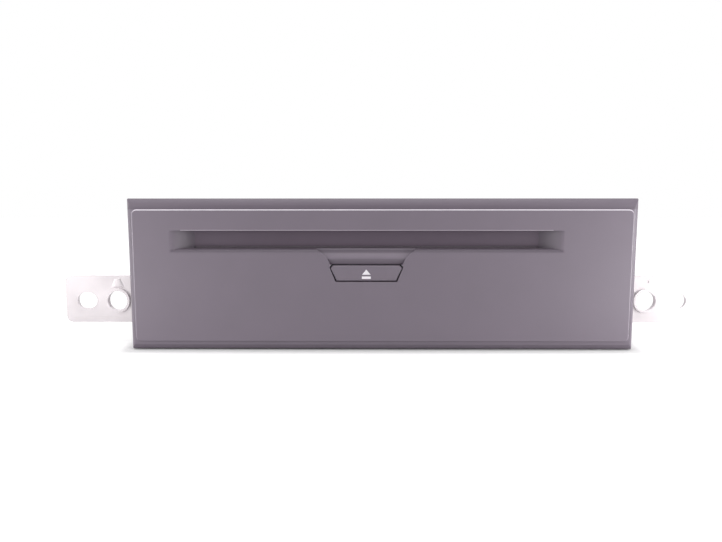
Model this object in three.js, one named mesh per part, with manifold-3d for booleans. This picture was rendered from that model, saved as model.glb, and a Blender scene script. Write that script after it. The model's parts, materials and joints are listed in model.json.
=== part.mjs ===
// A slot-loading disc drive for a car dashboard, one DIN high, carried by two side brackets with ears.
// Millimetres. X runs across the unit, Y from the face to the rear, Z up. The feet stand at Z zero.

import * as THREE from 'three';
import { mergeVertices } from 'three/addons/utils/BufferGeometryUtils.js';
import Module from 'manifold-3d';

const wasm = await Module();
wasm.setup();

// Driving dimensions shared by several pieces. The mechanism is sized from the disc, and the case from the
// mechanism.
const seatGap = 0.3;
const overrun = 1;
const weldDistance = 1e-4;
const mechCentreX = -5.5;
const roundSides = 24;
const smallSides = 12;

const disc = { radius: 60, playZ: 35 };
const mechRoom = { front: 14, entry: 12, rear: 12, side: 8 };
const spindleY = mechRoom.front + mechRoom.entry + disc.radius;
const mechHalf = disc.radius + mechRoom.side;
const mechRear = spindleY + disc.radius + mechRoom.rear;

const box = { height: 50, front: 9, sheet: 1, foot: 2, sideRoom: 21, rearRoom: 11, plugRoom: 6 };
const caseRight = mechHalf + box.sideRoom;
const caseBottom = box.foot;
const caseTop = caseBottom + box.height;
const caseRear = mechRear + box.rearRoom;
const overallDepth = caseRear + box.plugRoom;
const floorTop = caseBottom + box.sheet;
const lidUnderside = caseTop - box.sheet;

const face = { overhang: 2, height: 54.5, lift: 0.3, wall: 2.7, skirt: 10.5 };
const border = { side: 2, top: 3.9, bottom: 3, step: 0.5, slope: 1.5 };
const panelCorner = 1.8;
const slotPlay = { face: 10.5, throat: 2.5 };
const slot = { faceWidth: 2 * (disc.radius + slotPlay.face), throatWidth: 2 * (disc.radius + slotPlay.throat),
  top: 43.4, lip: 1.2, throatTop: 43.9, bottom: 35.2, throatBottom: 37, ramp: 2.2, wedge: 5,
  endSteps: 10 };
const relief = { topWidth: 35.6, bottomWidth: 26, crest: 0.5, depth: 1.3 };
const button = { topWidth: 25.8, bottomWidth: 21.5, top: 31, bottom: 25.4, chamfer: 0.9, travel: 0.8 };

const mech = { front: mechRoom.front, base: 20, sheet: 1, wallFront: 26, wallTop: 44 };
const tab = { wallGap: 3, holeInset: 4.5, rearInset: 8, halfLength: 6 };
const tabReach = caseRight + mechCentreX - tab.wallGap;
const damperSpot = { x: tabReach - tab.holeInset, frontY: 20, rearY: mechRear - tab.rearInset, postTop: 12 };
const boardInset = { left: 13, right: 24, rear: 5, screwSide: 31, screwRear: 31 };
const board = { left: boardInset.left - caseRight, right: caseRight - boardInset.right, front: 14,
  rear: caseRear - boardInset.rear, underside: 8, thickness: 1.6 };
const boardTop = board.underside + board.thickness;
const boardSpot = { x: caseRight - boardInset.screwSide, frontY: 28, rearY: caseRear - boardInset.screwRear };

const gearModule = 0.8;
const toothCount = { roller: 12, pulley: 28 };
const pivotDistance = (gearModule * (toothCount.roller + toothCount.pulley)) / 2;
const rollerEndGap = 10;
const roller = { y: 20, z: 35.4, endRadius: 4.5, middleRadius: 3.9, inner: 6, outer: mechHalf - rollerEndGap,
  shaftRadius: 1.25 };
const rollerDrop = 4;
const bracketPivot = {
  y: roller.y + Math.sqrt(pivotDistance ** 2 - (rollerDrop / 2) ** 2),
  z: roller.z - rollerDrop / 2,
};
const gearLayer = { inset: 0.5, thickness: 2, gap: 0.4 };

const earSpan = { ring: 11.1, slot: 22.9, end: 31.1 };
const ear = { front: 12, bottom: 8.1, top: 26, holeZ: 16.5, ringX: caseRight + earSpan.ring,
  slotX: caseRight + earSpan.slot, reach: caseRight + earSpan.end };
const bracketSheet = 1.2;

// Solid geometry helpers

const alongX = new THREE.Vector3(1, 0, 0);
const alongY = new THREE.Vector3(0, 1, 0);
const alongZ = new THREE.Vector3(0, 0, 1);
const drawnOnYZ = new THREE.Matrix4().makeBasis(alongY, alongZ, alongX);
const drawnOnXZ = new THREE.Matrix4().makeBasis(alongX, alongZ, alongY.clone().negate());

function signedVolume(points, corners) {
  const [a, b, c] = [new THREE.Vector3(), new THREE.Vector3(), new THREE.Vector3()];
  let total = 0;
  for (let i = 0; i < corners.length; i += 3) {
    a.fromArray(points, 3 * corners[i]);
    b.fromArray(points, 3 * corners[i + 1]);
    c.fromArray(points, 3 * corners[i + 2]);
    total += a.dot(b.cross(c));
  }
  return total;
}

function solid(geometry) {
  const bare = geometry.clone();
  bare.deleteAttribute('normal');
  bare.deleteAttribute('uv');
  const merged = mergeVertices(bare, weldDistance);
  const points = Float32Array.from(merged.attributes.position.array);
  const corners = [];
  for (let i = 0; i < merged.index.count; i += 3) {
    const [a, b, c] = [merged.index.getX(i), merged.index.getX(i + 1), merged.index.getX(i + 2)];
    if (a !== b && b !== c && c !== a) corners.push(a, b, c);
  }
  if (signedVolume(points, corners) < 0) corners.reverse();
  return new wasm.Manifold(new wasm.Mesh({
    numProp: 3,
    vertProperties: points,
    triVerts: Uint32Array.from(corners),
  }));
}

function join(...pieces) {
  return pieces.flat().reduce((whole, piece) => whole.add(piece));
}

function cut(whole, ...tools) {
  return tools.flat().reduce((rest, tool) => rest.subtract(tool), whole);
}

function block(a, b) {
  const size = a.map((value, k) => Math.abs(b[k] - value));
  const middle = a.map((value, k) => (b[k] + value) / 2);
  return solid(new THREE.BoxGeometry(...size).translate(...middle));
}

function drawn(outline, holes, depth) {
  const shape = new THREE.Shape(outline);
  shape.holes = holes.map((hole) => new THREE.Path(hole));
  return new THREE.ExtrudeGeometry(shape, { depth, bevelEnabled: false, steps: 1 });
}

// An outline in Y and Z, run from one X to another
function prismX(outline, from, to, holes = []) {
  const low = Math.min(from, to);
  return solid(drawn(outline, holes, Math.abs(to - from)).applyMatrix4(drawnOnYZ).translate(low, 0, 0));
}

// An outline in X and Z, run from one Y to another
function prismY(outline, from, to, holes = []) {
  const high = Math.max(from, to);
  return solid(drawn(outline, holes, Math.abs(to - from)).applyMatrix4(drawnOnXZ).translate(0, high, 0));
}

// An outline in X and Y, run from one Z to another
function prismZ(outline, from, to, holes = []) {
  const low = Math.min(from, to);
  return solid(drawn(outline, holes, Math.abs(to - from)).translate(0, 0, low));
}

function circle(u, v, radius, sides = roundSides) {
  return Array.from({ length: sides }, (_, k) => {
    const angle = (2 * Math.PI * k) / sides;
    return new THREE.Vector2(u + radius * Math.cos(angle), v + radius * Math.sin(angle));
  });
}

// A slot outline with round ends, its straight part lying along the first axis
function obround(u, v, straight, radius, sides = roundSides) {
  return Array.from({ length: sides }, (_, k) => {
    const angle = (2 * Math.PI * (k + 0.5)) / sides;
    const shift = Math.sign(Math.cos(angle)) * (straight / 2);
    return new THREE.Vector2(u + shift + radius * Math.cos(angle), v + radius * Math.sin(angle));
  });
}

function outline(...points) {
  return points.map(([u, v]) => new THREE.Vector2(u, v));
}

// A rectangle with round corners, each corner an arc of a few steps
function roundedRectangle(u0, v0, u1, v1, radius, steps = 4) {
  const centres = [[u1 - radius, v0 + radius], [u1 - radius, v1 - radius], [u0 + radius, v1 - radius],
    [u0 + radius, v0 + radius]];
  return centres.flatMap(([u, v], corner) => Array.from({ length: steps + 1 }, (_, k) => {
    const angle = ((corner - 1) * Math.PI) / 2 + (k * Math.PI) / (2 * steps);
    return new THREE.Vector2(u + radius * Math.cos(angle), v + radius * Math.sin(angle));
  }));
}

function rodX(from, to, y, z, radius, sides = roundSides) {
  return prismX(circle(y, z, radius, sides), from, to);
}

function rodY(from, to, x, z, radius, sides = roundSides) {
  return prismY(circle(x, z, radius, sides), from, to);
}

function rodZ(from, to, x, y, radius, sides = roundSides) {
  return prismZ(circle(x, y, radius, sides), from, to);
}

// A turned piece about its own Z axis, from a profile of radius and height
function turned(profile, sides = roundSides) {
  const points = profile.map(([radius, height]) => new THREE.Vector2(radius, height));
  return solid(new THREE.LatheGeometry(points, sides).rotateX(Math.PI / 2));
}

// A body through two or more flat rings of points, each ring with as many points as the others
function loft(...rings) {
  const count = rings[0].length;
  const last = (rings.length - 1) * count;
  const faces = [];
  for (let k = 0; k < count; k += 1) {
    const next = (k + 1) % count;
    for (let low = 0; low < last; low += count) {
      const high = low + count;
      faces.push(low + k, low + next, high + next, low + k, high + next, high + k);
    }
    if (k > 1) faces.push(0, k, k - 1, last, last + k - 1, last + k);
  }
  const geometry = new THREE.BufferGeometry();
  geometry.setAttribute('position', new THREE.Float32BufferAttribute(rings.flat(2), 3));
  geometry.setIndex(faces);
  return solid(geometry);
}

// Materials of the real pieces

const finishes = {
  fasciaPlastic: [0x4a434b, 0.55, 0],
  blackPlastic: [0x242326, 0.6, 0],
  zincSteel: [0xc9c8cc, 0.38, 0.9],
  darkSteel: [0x6e6f73, 0.4, 0.9],
  brightSteel: [0xd6d7d9, 0.25, 1],
  whiteAcetal: [0xe8e6df, 0.5, 0],
  greyAcetal: [0x8d8f92, 0.5, 0],
  blackRubber: [0x1c1c1d, 0.85, 0],
  blackFelt: [0x18181a, 1, 0],
  circuitBoard: [0x1f5a3a, 0.5, 0],
  aluminium: [0xb4b6ba, 0.4, 1],
  clearGlass: [0x9db4d8, 0.1, 0],
  cableWhite: [0xe4e2da, 0.6, 0],
  capacitorSleeve: [0x23262e, 0.4, 0],
  signalBlue: [0x2c4f8f, 0.5, 0],
};

const drive = new THREE.Group();
drive.position.y = -overallDepth / 2;

// Adds a named piece, at a place, and turned so that its own Z axis points along a direction
function add(name, piece, finish, place = [0, 0, 0], direction = alongZ) {
  const mesh = piece.getMesh();
  const geometry = new THREE.BufferGeometry();
  geometry.setAttribute('position', new THREE.BufferAttribute(Float32Array.from(mesh.vertProperties), 3));
  geometry.setIndex(Array.from(mesh.triVerts));
  geometry.computeVertexNormals();
  const [color, roughness, metalness] = finishes[finish];
  const node = new THREE.Mesh(geometry, new THREE.MeshStandardMaterial({ color, roughness, metalness }));
  node.name = name;
  node.position.set(...place);
  node.quaternion.setFromUnitVectors(alongZ, direction);
  drive.add(node);
}

const sides = [[-1, 'left'], [1, 'right']];

// Fascia: sloped border, raised panel, slot, finger relief, button hole, skirt and snap tongues

const faceBottom = face.lift;
const faceTop = face.lift + face.height;
const duct = { wall: 1.7, sideMargin: 4, rear: 8 };
const flap = { pinY: 6.4, pinZ: 42.8, pinRadius: 0.65, pinEnd: 2, overlap: 1, thickness: 0.8 };
const flapHalf = slot.throatWidth / 2 + flap.overlap - seatGap;
const tongueInset = 34;
const tongue = { x: caseRight - tongueInset, width: 9, thickness: 0.9, length: 10, windowWidth: 5,
  windowLength: 3 };
const boardPost = { left: -28, right: 22, z: 27, radius: 2.5 };
const frontBoard = { left: -36, right: 27, bottom: 20, top: 33, front: 8.9, thickness: 1.6 };

function fasciaShell() {
  const edgeY = border.step + border.slope;
  const half = caseRight + face.overhang;
  const corners = (inward, y) => [
    [-half + inward * border.side, y, faceBottom + inward * border.bottom],
    [half - inward * border.side, y, faceBottom + inward * border.bottom],
    [half - inward * border.side, y, faceTop - inward * border.top],
    [-half + inward * border.side, y, faceTop - inward * border.top],
  ];
  const crownShares = [[1, 0], [0.6, 0.14], [0.25, 0.48], [0, 1]];
  const crown = crownShares.map(([inward, deep]) => corners(inward, border.step + border.slope * deep));
  const frame = loft(...crown, corners(0, face.skirt));
  const panel = roundedRectangle(-half + border.side, faceBottom + border.bottom, half - border.side,
    faceTop - border.top, panelCorner);
  const raised = prismY(panel, 0, edgeY + overrun);
  const cavity = block([-caseRight - seatGap, border.step + face.wall, caseBottom - seatGap],
    [caseRight + seatGap, face.skirt + overrun, caseTop + seatGap]);
  return cut(join(frame, raised), cavity);
}

function slotCutter() {
  const faceHalf = slot.faceWidth / 2;
  const throatHalf = slot.throatWidth / 2;
  const curve = (side) => Array.from({ length: slot.endSteps + 1 }, (_, k) => {
    const run = k / slot.endSteps;
    return [mechCentreX + side * (faceHalf - (faceHalf - throatHalf) * run),
      slot.wedge * THREE.MathUtils.smoothstep(run, 0, 1)];
  });
  const plan = outline([mechCentreX - faceHalf, -overrun], [mechCentreX + faceHalf, -overrun],
    ...curve(1), ...curve(-1).reverse());
  const mouth = prismZ(plan, slot.bottom, slot.top);
  const sillShares = [[0, 0], [0.08, 0.38], [0.29, 0.71], [0.62, 0.92], [1, 1]];
  const sill = sillShares.map(([deep, high]) => [
    slot.ramp * deep, slot.bottom + (slot.throatBottom - slot.bottom) * high]);
  const ramp = prismX(outline([-overrun, slot.bottom - overrun], [0, slot.bottom - overrun], ...sill,
    [slot.wedge + overrun, slot.throatBottom],
    [slot.wedge + overrun, slot.top + overrun], [-overrun, slot.top + overrun]),
  mechCentreX - faceHalf - overrun, mechCentreX + faceHalf + overrun);
  const gate = block([mechCentreX - throatHalf, 0, slot.throatBottom],
    [mechCentreX + throatHalf, slot.lip + overrun, slot.top]);
  const throat = block([mechCentreX - throatHalf, slot.lip, slot.throatBottom],
    [mechCentreX + throatHalf, duct.rear + overrun, slot.throatTop]);
  const pocketHalf = flapHalf + seatGap;
  const pocketFront = flap.pinY - flap.thickness / 2 - seatGap;
  const pocket = block([mechCentreX - pocketHalf, pocketFront, slot.throatBottom],
    [mechCentreX + pocketHalf, duct.rear + overrun, slot.throatTop]);
  return [mouth.intersect(ramp), gate, throat, pocket];
}

function reliefCutter() {
  const low = button.top + seatGap;
  const flareShares = [[0, 0], [0.1, 0.2], [0.22, 0.42], [0.4, 0.6], [0.62, 0.75], [0.8, 0.86], [1, 1]];
  const flare = (side) => flareShares.map(([out, high]) => [
    mechCentreX + side * (relief.bottomWidth + (relief.topWidth - relief.bottomWidth) * out) / 2,
    low + (slot.throatBottom - low) * high]);
  const front = outline(...flare(1), ...flare(-1).reverse());
  const rise = slot.bottom - low;
  const ledgeShares = [[1, 1], [0.45, 0.84], [0.12, 0.68], [0, 0.55], [0.05, 0.46], [0.3, 0.34], [1, 0]];
  const ledge = ledgeShares.map(([deep, high]) => [
    relief.crest + (relief.depth - relief.crest) * deep, low + rise * high]);
  const side = outline([-overrun, low], [-overrun, slot.throatBottom + overrun],
    [slot.ramp, slot.throatBottom + overrun], [slot.ramp, slot.throatBottom], ...ledge);
  const width = relief.topWidth / 2 + overrun;
  return prismY(front, -overrun, slot.ramp + overrun)
    .intersect(prismX(side, mechCentreX - width, mechCentreX + width));
}

// The button's outline, grown by a clearance all round
function buttonOutline(grow) {
  const top = button.topWidth / 2 + grow;
  const bottom = button.bottomWidth / 2 + grow;
  const chamfer = button.chamfer;
  return outline(
    [mechCentreX - bottom, button.bottom - grow], [mechCentreX + bottom, button.bottom - grow],
    [mechCentreX + top, button.top + grow - chamfer], [mechCentreX + top - chamfer, button.top + grow],
    [mechCentreX - top + chamfer, button.top + grow], [mechCentreX - top, button.top + grow - chamfer],
  );
}

function fascia() {
  const backWall = border.step + face.wall;
  const ductHalf = slot.throatWidth / 2 + duct.sideMargin;
  const ductBody = block([mechCentreX - ductHalf, backWall - overrun, slot.throatBottom - duct.wall],
    [mechCentreX + ductHalf, duct.rear, slot.throatTop + duct.wall]);
  const posts = [boardPost.left, boardPost.right].map((x) => rodY(backWall - overrun,
    frontBoard.front - seatGap, x, boardPost.z, boardPost.radius, smallSides));
  const tongues = [-tongue.x, tongue.x].flatMap((x) => {
    const rear = face.skirt + tongue.length;
    const windowRear = rear - tongue.windowLength / 2;
    const windowFront = windowRear - tongue.windowLength;
    return [[caseTop + seatGap, 1], [caseBottom - seatGap, -1]].map(([z, up]) => cut(
      block([x - tongue.width / 2, face.skirt - overrun, z],
        [x + tongue.width / 2, rear, z + up * tongue.thickness]),
      block([x - tongue.windowWidth / 2, windowFront, z - up * overrun],
        [x + tongue.windowWidth / 2, windowRear, z + up * (tongue.thickness + overrun)]),
    ));
  });
  const hole = prismY(buttonOutline(seatGap), -overrun, backWall + overrun);
  const pinHalf = flapHalf + flap.pinEnd + seatGap;
  const pinHole = rodX(mechCentreX - pinHalf, mechCentreX + pinHalf, flap.pinY, flap.pinZ,
    flap.pinRadius + seatGap, smallSides);
  return cut(join(fasciaShell(), ductBody, posts, tongues), slotCutter(), reliefCutter(), hole, pinHole);
}
add('fascia', fascia(), 'fasciaPlastic');

// Eject button: a plate with a bevelled face, and a stem that reaches back to the switch

const buttonBody = { front: 0.1, bevel: 0.35, rear: 3.8, stemWidth: 5, stemRear: 4.6, stemZ: 28 };
const plunger = { headLength: 0.4, headRadius: 1.6, stemRadius: 1, stemLength: 1.7 };
const ejectSwitch = { front: 6.2, size: 6.2 };
const plungerFront = buttonBody.stemRear + seatGap;

function ejectButton() {
  const ring = (grow, y) => buttonOutline(grow).map((p) => [p.x, y, p.y]);
  const plate = loft(ring(-buttonBody.bevel, buttonBody.front), ring(0, buttonBody.front + buttonBody.bevel),
    ring(0, buttonBody.rear));
  const half = buttonBody.stemWidth / 2;
  const stem = block([mechCentreX - half, buttonBody.rear - overrun, buttonBody.stemZ - plunger.headRadius],
    [mechCentreX + half, buttonBody.stemRear, buttonBody.stemZ + plunger.headRadius]);
  return join(plate, stem);
}
add('eject_button', ejectButton(), 'fasciaPlastic');

function switchPlunger() {
  const headRear = plungerFront + plunger.headLength;
  return join(
    rodY(plungerFront, headRear, mechCentreX, buttonBody.stemZ, plunger.headRadius, smallSides),
    rodY(plungerFront, headRear + plunger.stemLength, mechCentreX, buttonBody.stemZ, plunger.stemRadius,
      smallSides),
  );
}
add('switch_plunger', switchPlunger(), 'whiteAcetal');

function switchBody() {
  const half = ejectSwitch.size / 2;
  const boreRear = plungerFront + plunger.headLength + plunger.stemLength + button.travel + seatGap / 2;
  return cut(
    block([mechCentreX - half, ejectSwitch.front, buttonBody.stemZ - half],
      [mechCentreX + half, frontBoard.front - seatGap, buttonBody.stemZ + half]),
    rodY(ejectSwitch.front - overrun, boreRear, mechCentreX, buttonBody.stemZ,
      plunger.stemRadius + seatGap, smallSides),
  );
}
add('eject_switch', switchBody(), 'blackPlastic');
add('front_board', block([frontBoard.left, frontBoard.front, frontBoard.bottom],
  [frontBoard.right, frontBoard.front + frontBoard.thickness, frontBoard.top]), 'circuitBoard');

const cable = { x: 12, width: 12, thickness: 0.5, drop: 3 };

function frontCable() {
  const near = frontBoard.front + frontBoard.thickness + seatGap;
  const low = boardTop + seatGap;
  const rear = board.front + cable.width;
  return prismX(outline(
    [near, frontBoard.bottom + cable.drop], [near, low], [rear, low], [rear, low + cable.thickness],
    [near + cable.thickness, low + cable.thickness], [near + cable.thickness, frontBoard.bottom + cable.drop],
  ), cable.x - cable.width / 2, cable.x + cable.width / 2);
}
add('front_cable', frontCable(), 'cableWhite');

// Felt strips that line the slot's throat above and below, in front of the dust flap

const felt = { thickness: 0.4, glue: 0.1, front: 4.6, rear: 5.5 };
const feltSeats = [['slot_felt_upper', slot.throatTop, -1], ['slot_felt_lower', slot.throatBottom, 1]];
for (const [name, z, up] of feltSeats) {
  const half = slot.throatWidth / 2 - seatGap;
  const near = z + up * felt.glue;
  add(name, block([mechCentreX - half, felt.front, near],
    [mechCentreX + half, felt.rear, near + up * felt.thickness]), 'blackFelt');
}

// Dust flap: a strip that hangs behind the throat from a pin along its top edge and swings in with the
// disc. Its ends lie in pockets, covered by the slot's curved ends.

function dustFlap() {
  const plate = block([mechCentreX - flapHalf, flap.pinY - flap.thickness / 2, slot.throatBottom + seatGap],
    [mechCentreX + flapHalf, flap.pinY + flap.thickness / 2, flap.pinZ]);
  const pinHalf = flapHalf + flap.pinEnd;
  return join(plate, rodX(mechCentreX - pinHalf, mechCentreX + pinHalf, flap.pinY, flap.pinZ, flap.pinRadius,
    smallSides));
}
add('dust_flap', dustFlap(), 'fasciaPlastic');

// Chassis tray: floor, sides and rear wall of one folded sheet, with feet, posts and connector windows

const screwHole = 1.8;
const shankRadius = screwHole - seatGap;
const rearInset = { lidScrew: 27, bracketScrew: 59, bracket: 44, foot: 21, vent: 41, field: 64, plug: 10,
  capacitor: 33 };
const lidFlange = { depth: 9, screwZ: 46.5, screwFront: 36, screwRear: caseRear - rearInset.lidScrew };
const bracketScrew = { z: 24, front: 45, rear: caseRear - rearInset.bracketScrew };
const post = { radius: 4, boardRadius: 3, boreDepth: 4 };
const sideInset = { foot: 19, lip: 29, vent: 51, field: 18 };
const footSpot = { x: caseRight - sideInset.foot, front: 27, rear: caseRear - rearInset.foot, topRadius: 6,
  bottomRadius: 5 };
const lip = { height: 5, halfWidth: caseRight - sideInset.lip };
const nib = { height: 0.7, width: 4, length: 2 };

const mainPlug = { left: -60, right: -14, top: 22, rows: 2, columns: 8 };
const videoPlug = { left: 2, right: 27, top: 20.5, rows: 2, columns: 4 };
const antennaPlug = { left: 42, right: 54.5, top: 22, rows: 1, columns: 1 };
const connectors = [['main_connector', mainPlug, 'whiteAcetal'],
  ['video_connector', videoPlug, 'blackPlastic'], ['antenna_connector', antennaPlug, 'signalBlue']];
const connector = { front: caseRear - rearInset.plug, wall: 1.8, floor: 4, pinRadius: 0.5, pinLength: 5 };

// A hook nib on the case that the fascia's tongue snaps over, facing up or down
function hookNib(x, z, up) {
  const rear = face.skirt + tongue.length - tongue.windowLength / 2 - seatGap;
  return prismX(outline([rear, z - up * (box.sheet / 2)], [rear, z + up * nib.height],
    [rear - nib.length, z - up * (box.sheet / 2)]), x - nib.width / 2, x + nib.width / 2);
}

function chassisTray() {
  const wallTop = lidUnderside - seatGap;
  const inner = caseRight - box.sheet;
  const floor = block([-caseRight, box.front, caseBottom], [caseRight, caseRear, floorTop]);
  const walls = sides.map(([side]) => block([side * inner, box.front, caseBottom],
    [side * caseRight, caseRear, wallTop]));
  const rearWall = block([-caseRight, caseRear - box.sheet, caseBottom], [caseRight, caseRear, wallTop]);
  const frontLip = block([-lip.halfWidth, box.front, caseBottom],
    [lip.halfWidth, box.front + box.sheet, floorTop + lip.height]);
  const mechPosts = sides.flatMap(([side]) => [damperSpot.frontY, damperSpot.rearY].map((y) => rodZ(
    caseBottom, damperSpot.postTop, mechCentreX + side * damperSpot.x, y, post.radius, smallSides)));
  const boardPosts = sides.flatMap(([side]) => [boardSpot.frontY, boardSpot.rearY].map((y) => cut(
    rodZ(caseBottom, board.underside - seatGap, side * boardSpot.x, y, post.boardRadius, smallSides),
    rodZ(board.underside - post.boreDepth, board.underside + overrun, side * boardSpot.x, y, screwHole,
      smallSides),
  )));
  const feet = sides.flatMap(([side]) => [footSpot.front, footSpot.rear].map((y) => {
    const ring = (radius, z) => circle(side * footSpot.x, y, radius, smallSides).map((p) => [p.x, p.y, z]);
    return loft(ring(footSpot.bottomRadius, 0), ring(footSpot.topRadius, caseBottom + box.sheet / 2));
  }));
  const nibs = [-tongue.x, tongue.x].map((x) => hookNib(x, caseBottom, -1));
  const holes = sides.flatMap(([side]) => [
    ...[lidFlange.screwFront, lidFlange.screwRear].map((y) => rodX(side * (inner - overrun),
      side * (caseRight + overrun), y, lidFlange.screwZ, screwHole, smallSides)),
    ...[bracketScrew.front, bracketScrew.rear].map((y) => rodX(side * (inner - overrun),
      side * (caseRight + overrun), y, bracketScrew.z, screwHole, smallSides)),
  ]);
  const windows = connectors.map(([, { left, right, top }]) => block(
    [left - seatGap, caseRear - box.sheet - overrun, boardTop],
    [right + seatGap, caseRear + overrun, top + seatGap],
  ));
  return cut(join(floor, walls, rearWall, frontLip, mechPosts, boardPosts, feet, nibs), holes, windows);
}
add('chassis_tray', chassisTray(), 'zincSteel');

// Top cover: a lid whose flanges drop inside the tray's walls, with vents and a pressed field

const vent = { count: 9, width: 2.6, length: 26, pitch: 5.2, x: caseRight - sideInset.vent,
  y: caseRear - rearInset.vent };
const field = { front: 33, rear: caseRear - rearInset.field, corner: 6, groove: 3, depth: 0.6 };

function topCover() {
  const inner = caseRight - box.sheet - seatGap;
  const plate = block([-caseRight, box.front, lidUnderside], [caseRight, caseRear, caseTop]);
  const flanges = sides.map(([side]) => block(
    [side * (inner - box.sheet), box.front + box.sheet, lidUnderside - lidFlange.depth],
    [side * inner, caseRear - box.sheet - seatGap, caseTop - box.sheet / 2],
  ));
  const rearFlange = block([-inner, caseRear - 2 * box.sheet - seatGap, lidUnderside - lidFlange.depth],
    [inner, caseRear - box.sheet - seatGap, caseTop - box.sheet / 2]);
  const nibs = [-tongue.x, tongue.x].map((x) => hookNib(x, caseTop, 1));
  const fieldHalf = caseRight - sideInset.field;
  const fieldBlock = (inset, from) => prismZ(roundedRectangle(inset - fieldHalf, field.front + inset,
    fieldHalf - inset, field.rear - inset, field.corner - inset), from, caseTop + overrun);
  const groove = cut(fieldBlock(0, caseTop - field.depth), fieldBlock(field.groove, caseTop - overrun));
  const holes = sides.flatMap(([side]) => [lidFlange.screwFront, lidFlange.screwRear].map((y) => rodX(
    side * (inner - box.sheet - overrun), side * (inner + overrun), y, lidFlange.screwZ, screwHole,
    smallSides)));
  const vents = Array.from({ length: vent.count }, (_, k) => {
    const x = vent.x + (k - (vent.count - 1) / 2) * vent.pitch;
    return block([x - vent.width / 2, vent.y - vent.length / 2, lidUnderside - overrun],
      [x + vent.width / 2, vent.y + vent.length / 2, caseTop + overrun]);
  });
  return cut(join(plate, flanges, rearFlange, nibs), groove, holes, vents);
}
add('top_cover', topCover(), 'zincSteel');

// Side brackets: a pressed plate along the case, bent out at the front into an ear with two holes

const bracket = { rear: caseRear - rearInset.bracket, top: 40, step: 24, noseRise: 14 };
const earHole = { slotLength: 7.4, slotHeight: 6.1, ringRadius: 3.7, rimWidth: 0.9, rimHeight: 0.8,
  corner: 2.4 };

function sideBracket(side) {
  const inside = side * (caseRight + seatGap);
  const outside = inside + side * bracketSheet;
  const plate = prismX(outline([ear.front, ear.bottom], [bracket.rear, ear.bottom],
    [bracket.rear, bracket.top], [bracket.step + bracket.noseRise, bracket.top], [bracket.step, ear.top],
    [ear.front, ear.top]), inside, outside);
  const low = Math.min(inside, side * ear.reach);
  const high = Math.max(inside, side * ear.reach);
  const blank = prismY(roundedRectangle(low, ear.bottom, high, ear.top, earHole.corner),
    ear.front, ear.front + bracketSheet);
  const heel = block([inside, ear.front, ear.bottom],
    [inside + side * (bracketSheet + earHole.corner), ear.front + bracketSheet, ear.top]);
  const rim = rodY(ear.front - earHole.rimHeight, ear.front + bracketSheet / 2, side * ear.ringX, ear.holeZ,
    earHole.ringRadius + earHole.rimWidth);
  const through = [
    prismY(obround(side * ear.slotX, ear.holeZ, earHole.slotLength - earHole.slotHeight,
      earHole.slotHeight / 2), ear.front - overrun, ear.front + bracketSheet + overrun),
    rodY(ear.front - earHole.rimHeight - overrun, ear.front + bracketSheet + overrun, side * ear.ringX,
      ear.holeZ, earHole.ringRadius),
  ];
  const screws = [bracketScrew.front, bracketScrew.rear].map((y) => rodX(inside - side * overrun,
    outside + side * overrun, y, bracketScrew.z, screwHole, smallSides));
  return cut(join(plate, blank, heel, rim), through, screws);
}
for (const [side, word] of sides) add(`${word}_bracket`, sideBracket(side), 'zincSteel');

// Screws: a pan head with a cross recess on a short shank, its own Z axis pointing out of the head

const screwShares = { rim: 0.45, dome: 0.8, reach: 0.55, wing: 0.17, recessFloor: 0.33 };

function screw({ head, rise, shank, length }) {
  const body = turned([[0, -length], [shank, -length], [shank, 0], [head, 0], [head, rise * screwShares.rim],
    [head * screwShares.dome, rise], [0, rise]], smallSides);
  const wing = head * screwShares.wing;
  const reach = head * screwShares.reach;
  const low = rise * screwShares.recessFloor;
  return cut(body, block([-reach, -wing, low], [reach, wing, rise + overrun]),
    block([-wing, -reach, low], [wing, reach, rise + overrun]));
}

const caseScrew = { head: 3, rise: 1.6, shank: shankRadius, length: 3 };
const flatScrew = { head: 3.6, rise: 1.8, shank: shankRadius, length: 3.6 };
for (const [side, word] of sides) {
  const outward = alongX.clone().multiplyScalar(side);
  const seats = [['front', lidFlange.screwFront, bracketScrew.front],
    ['rear', lidFlange.screwRear, bracketScrew.rear]];
  for (const [end, lidY, bracketY] of seats) {
    add(`cover_screw_${word}_${end}`, screw(caseScrew), 'brightSteel',
      [side * (caseRight + seatGap), lidY, lidFlange.screwZ], outward);
    add(`bracket_screw_${word}_${end}`, screw(flatScrew), 'brightSteel',
      [side * (caseRight + bracketSheet + 2 * seatGap), bracketY, bracketScrew.z], outward);
  }
  add(`board_screw_${word}`, screw(caseScrew), 'brightSteel',
    [side * boardSpot.x, boardSpot.frontY, boardTop + seatGap]);
}

// Main board with its parts and rear connectors

function mainBoard() {
  const holes = sides.flatMap(([side]) => [boardSpot.frontY, boardSpot.rearY].map((y) => rodZ(
    board.underside - overrun, boardTop + overrun, side * boardSpot.x, y, screwHole, smallSides)));
  return cut(block([board.left, board.front, board.underside], [board.right, board.rear, boardTop]), holes);
}
add('main_board', mainBoard(), 'circuitBoard');

const shield = { left: 12, right: 58, front: 56, rear: 96, height: 3.2 };
add('processor_shield', block([shield.left, shield.front, boardTop + seatGap],
  [shield.right, shield.rear, boardTop + seatGap + shield.height]), 'darkSteel');
const capacitor = { x: -42, y: caseRear - rearInset.capacitor, radius: 4, height: 8, crimp: 0.5 };
add('capacitor', turned([[0, 0], [capacitor.radius, 0], [capacitor.radius, capacitor.crimp],
  [capacitor.radius - capacitor.crimp, 2 * capacitor.crimp], [capacitor.radius, 3 * capacitor.crimp],
  [capacitor.radius, capacitor.height], [0, capacitor.height]], smallSides), 'capacitorSleeve',
[capacitor.x, capacitor.y, boardTop + seatGap]);

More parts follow.
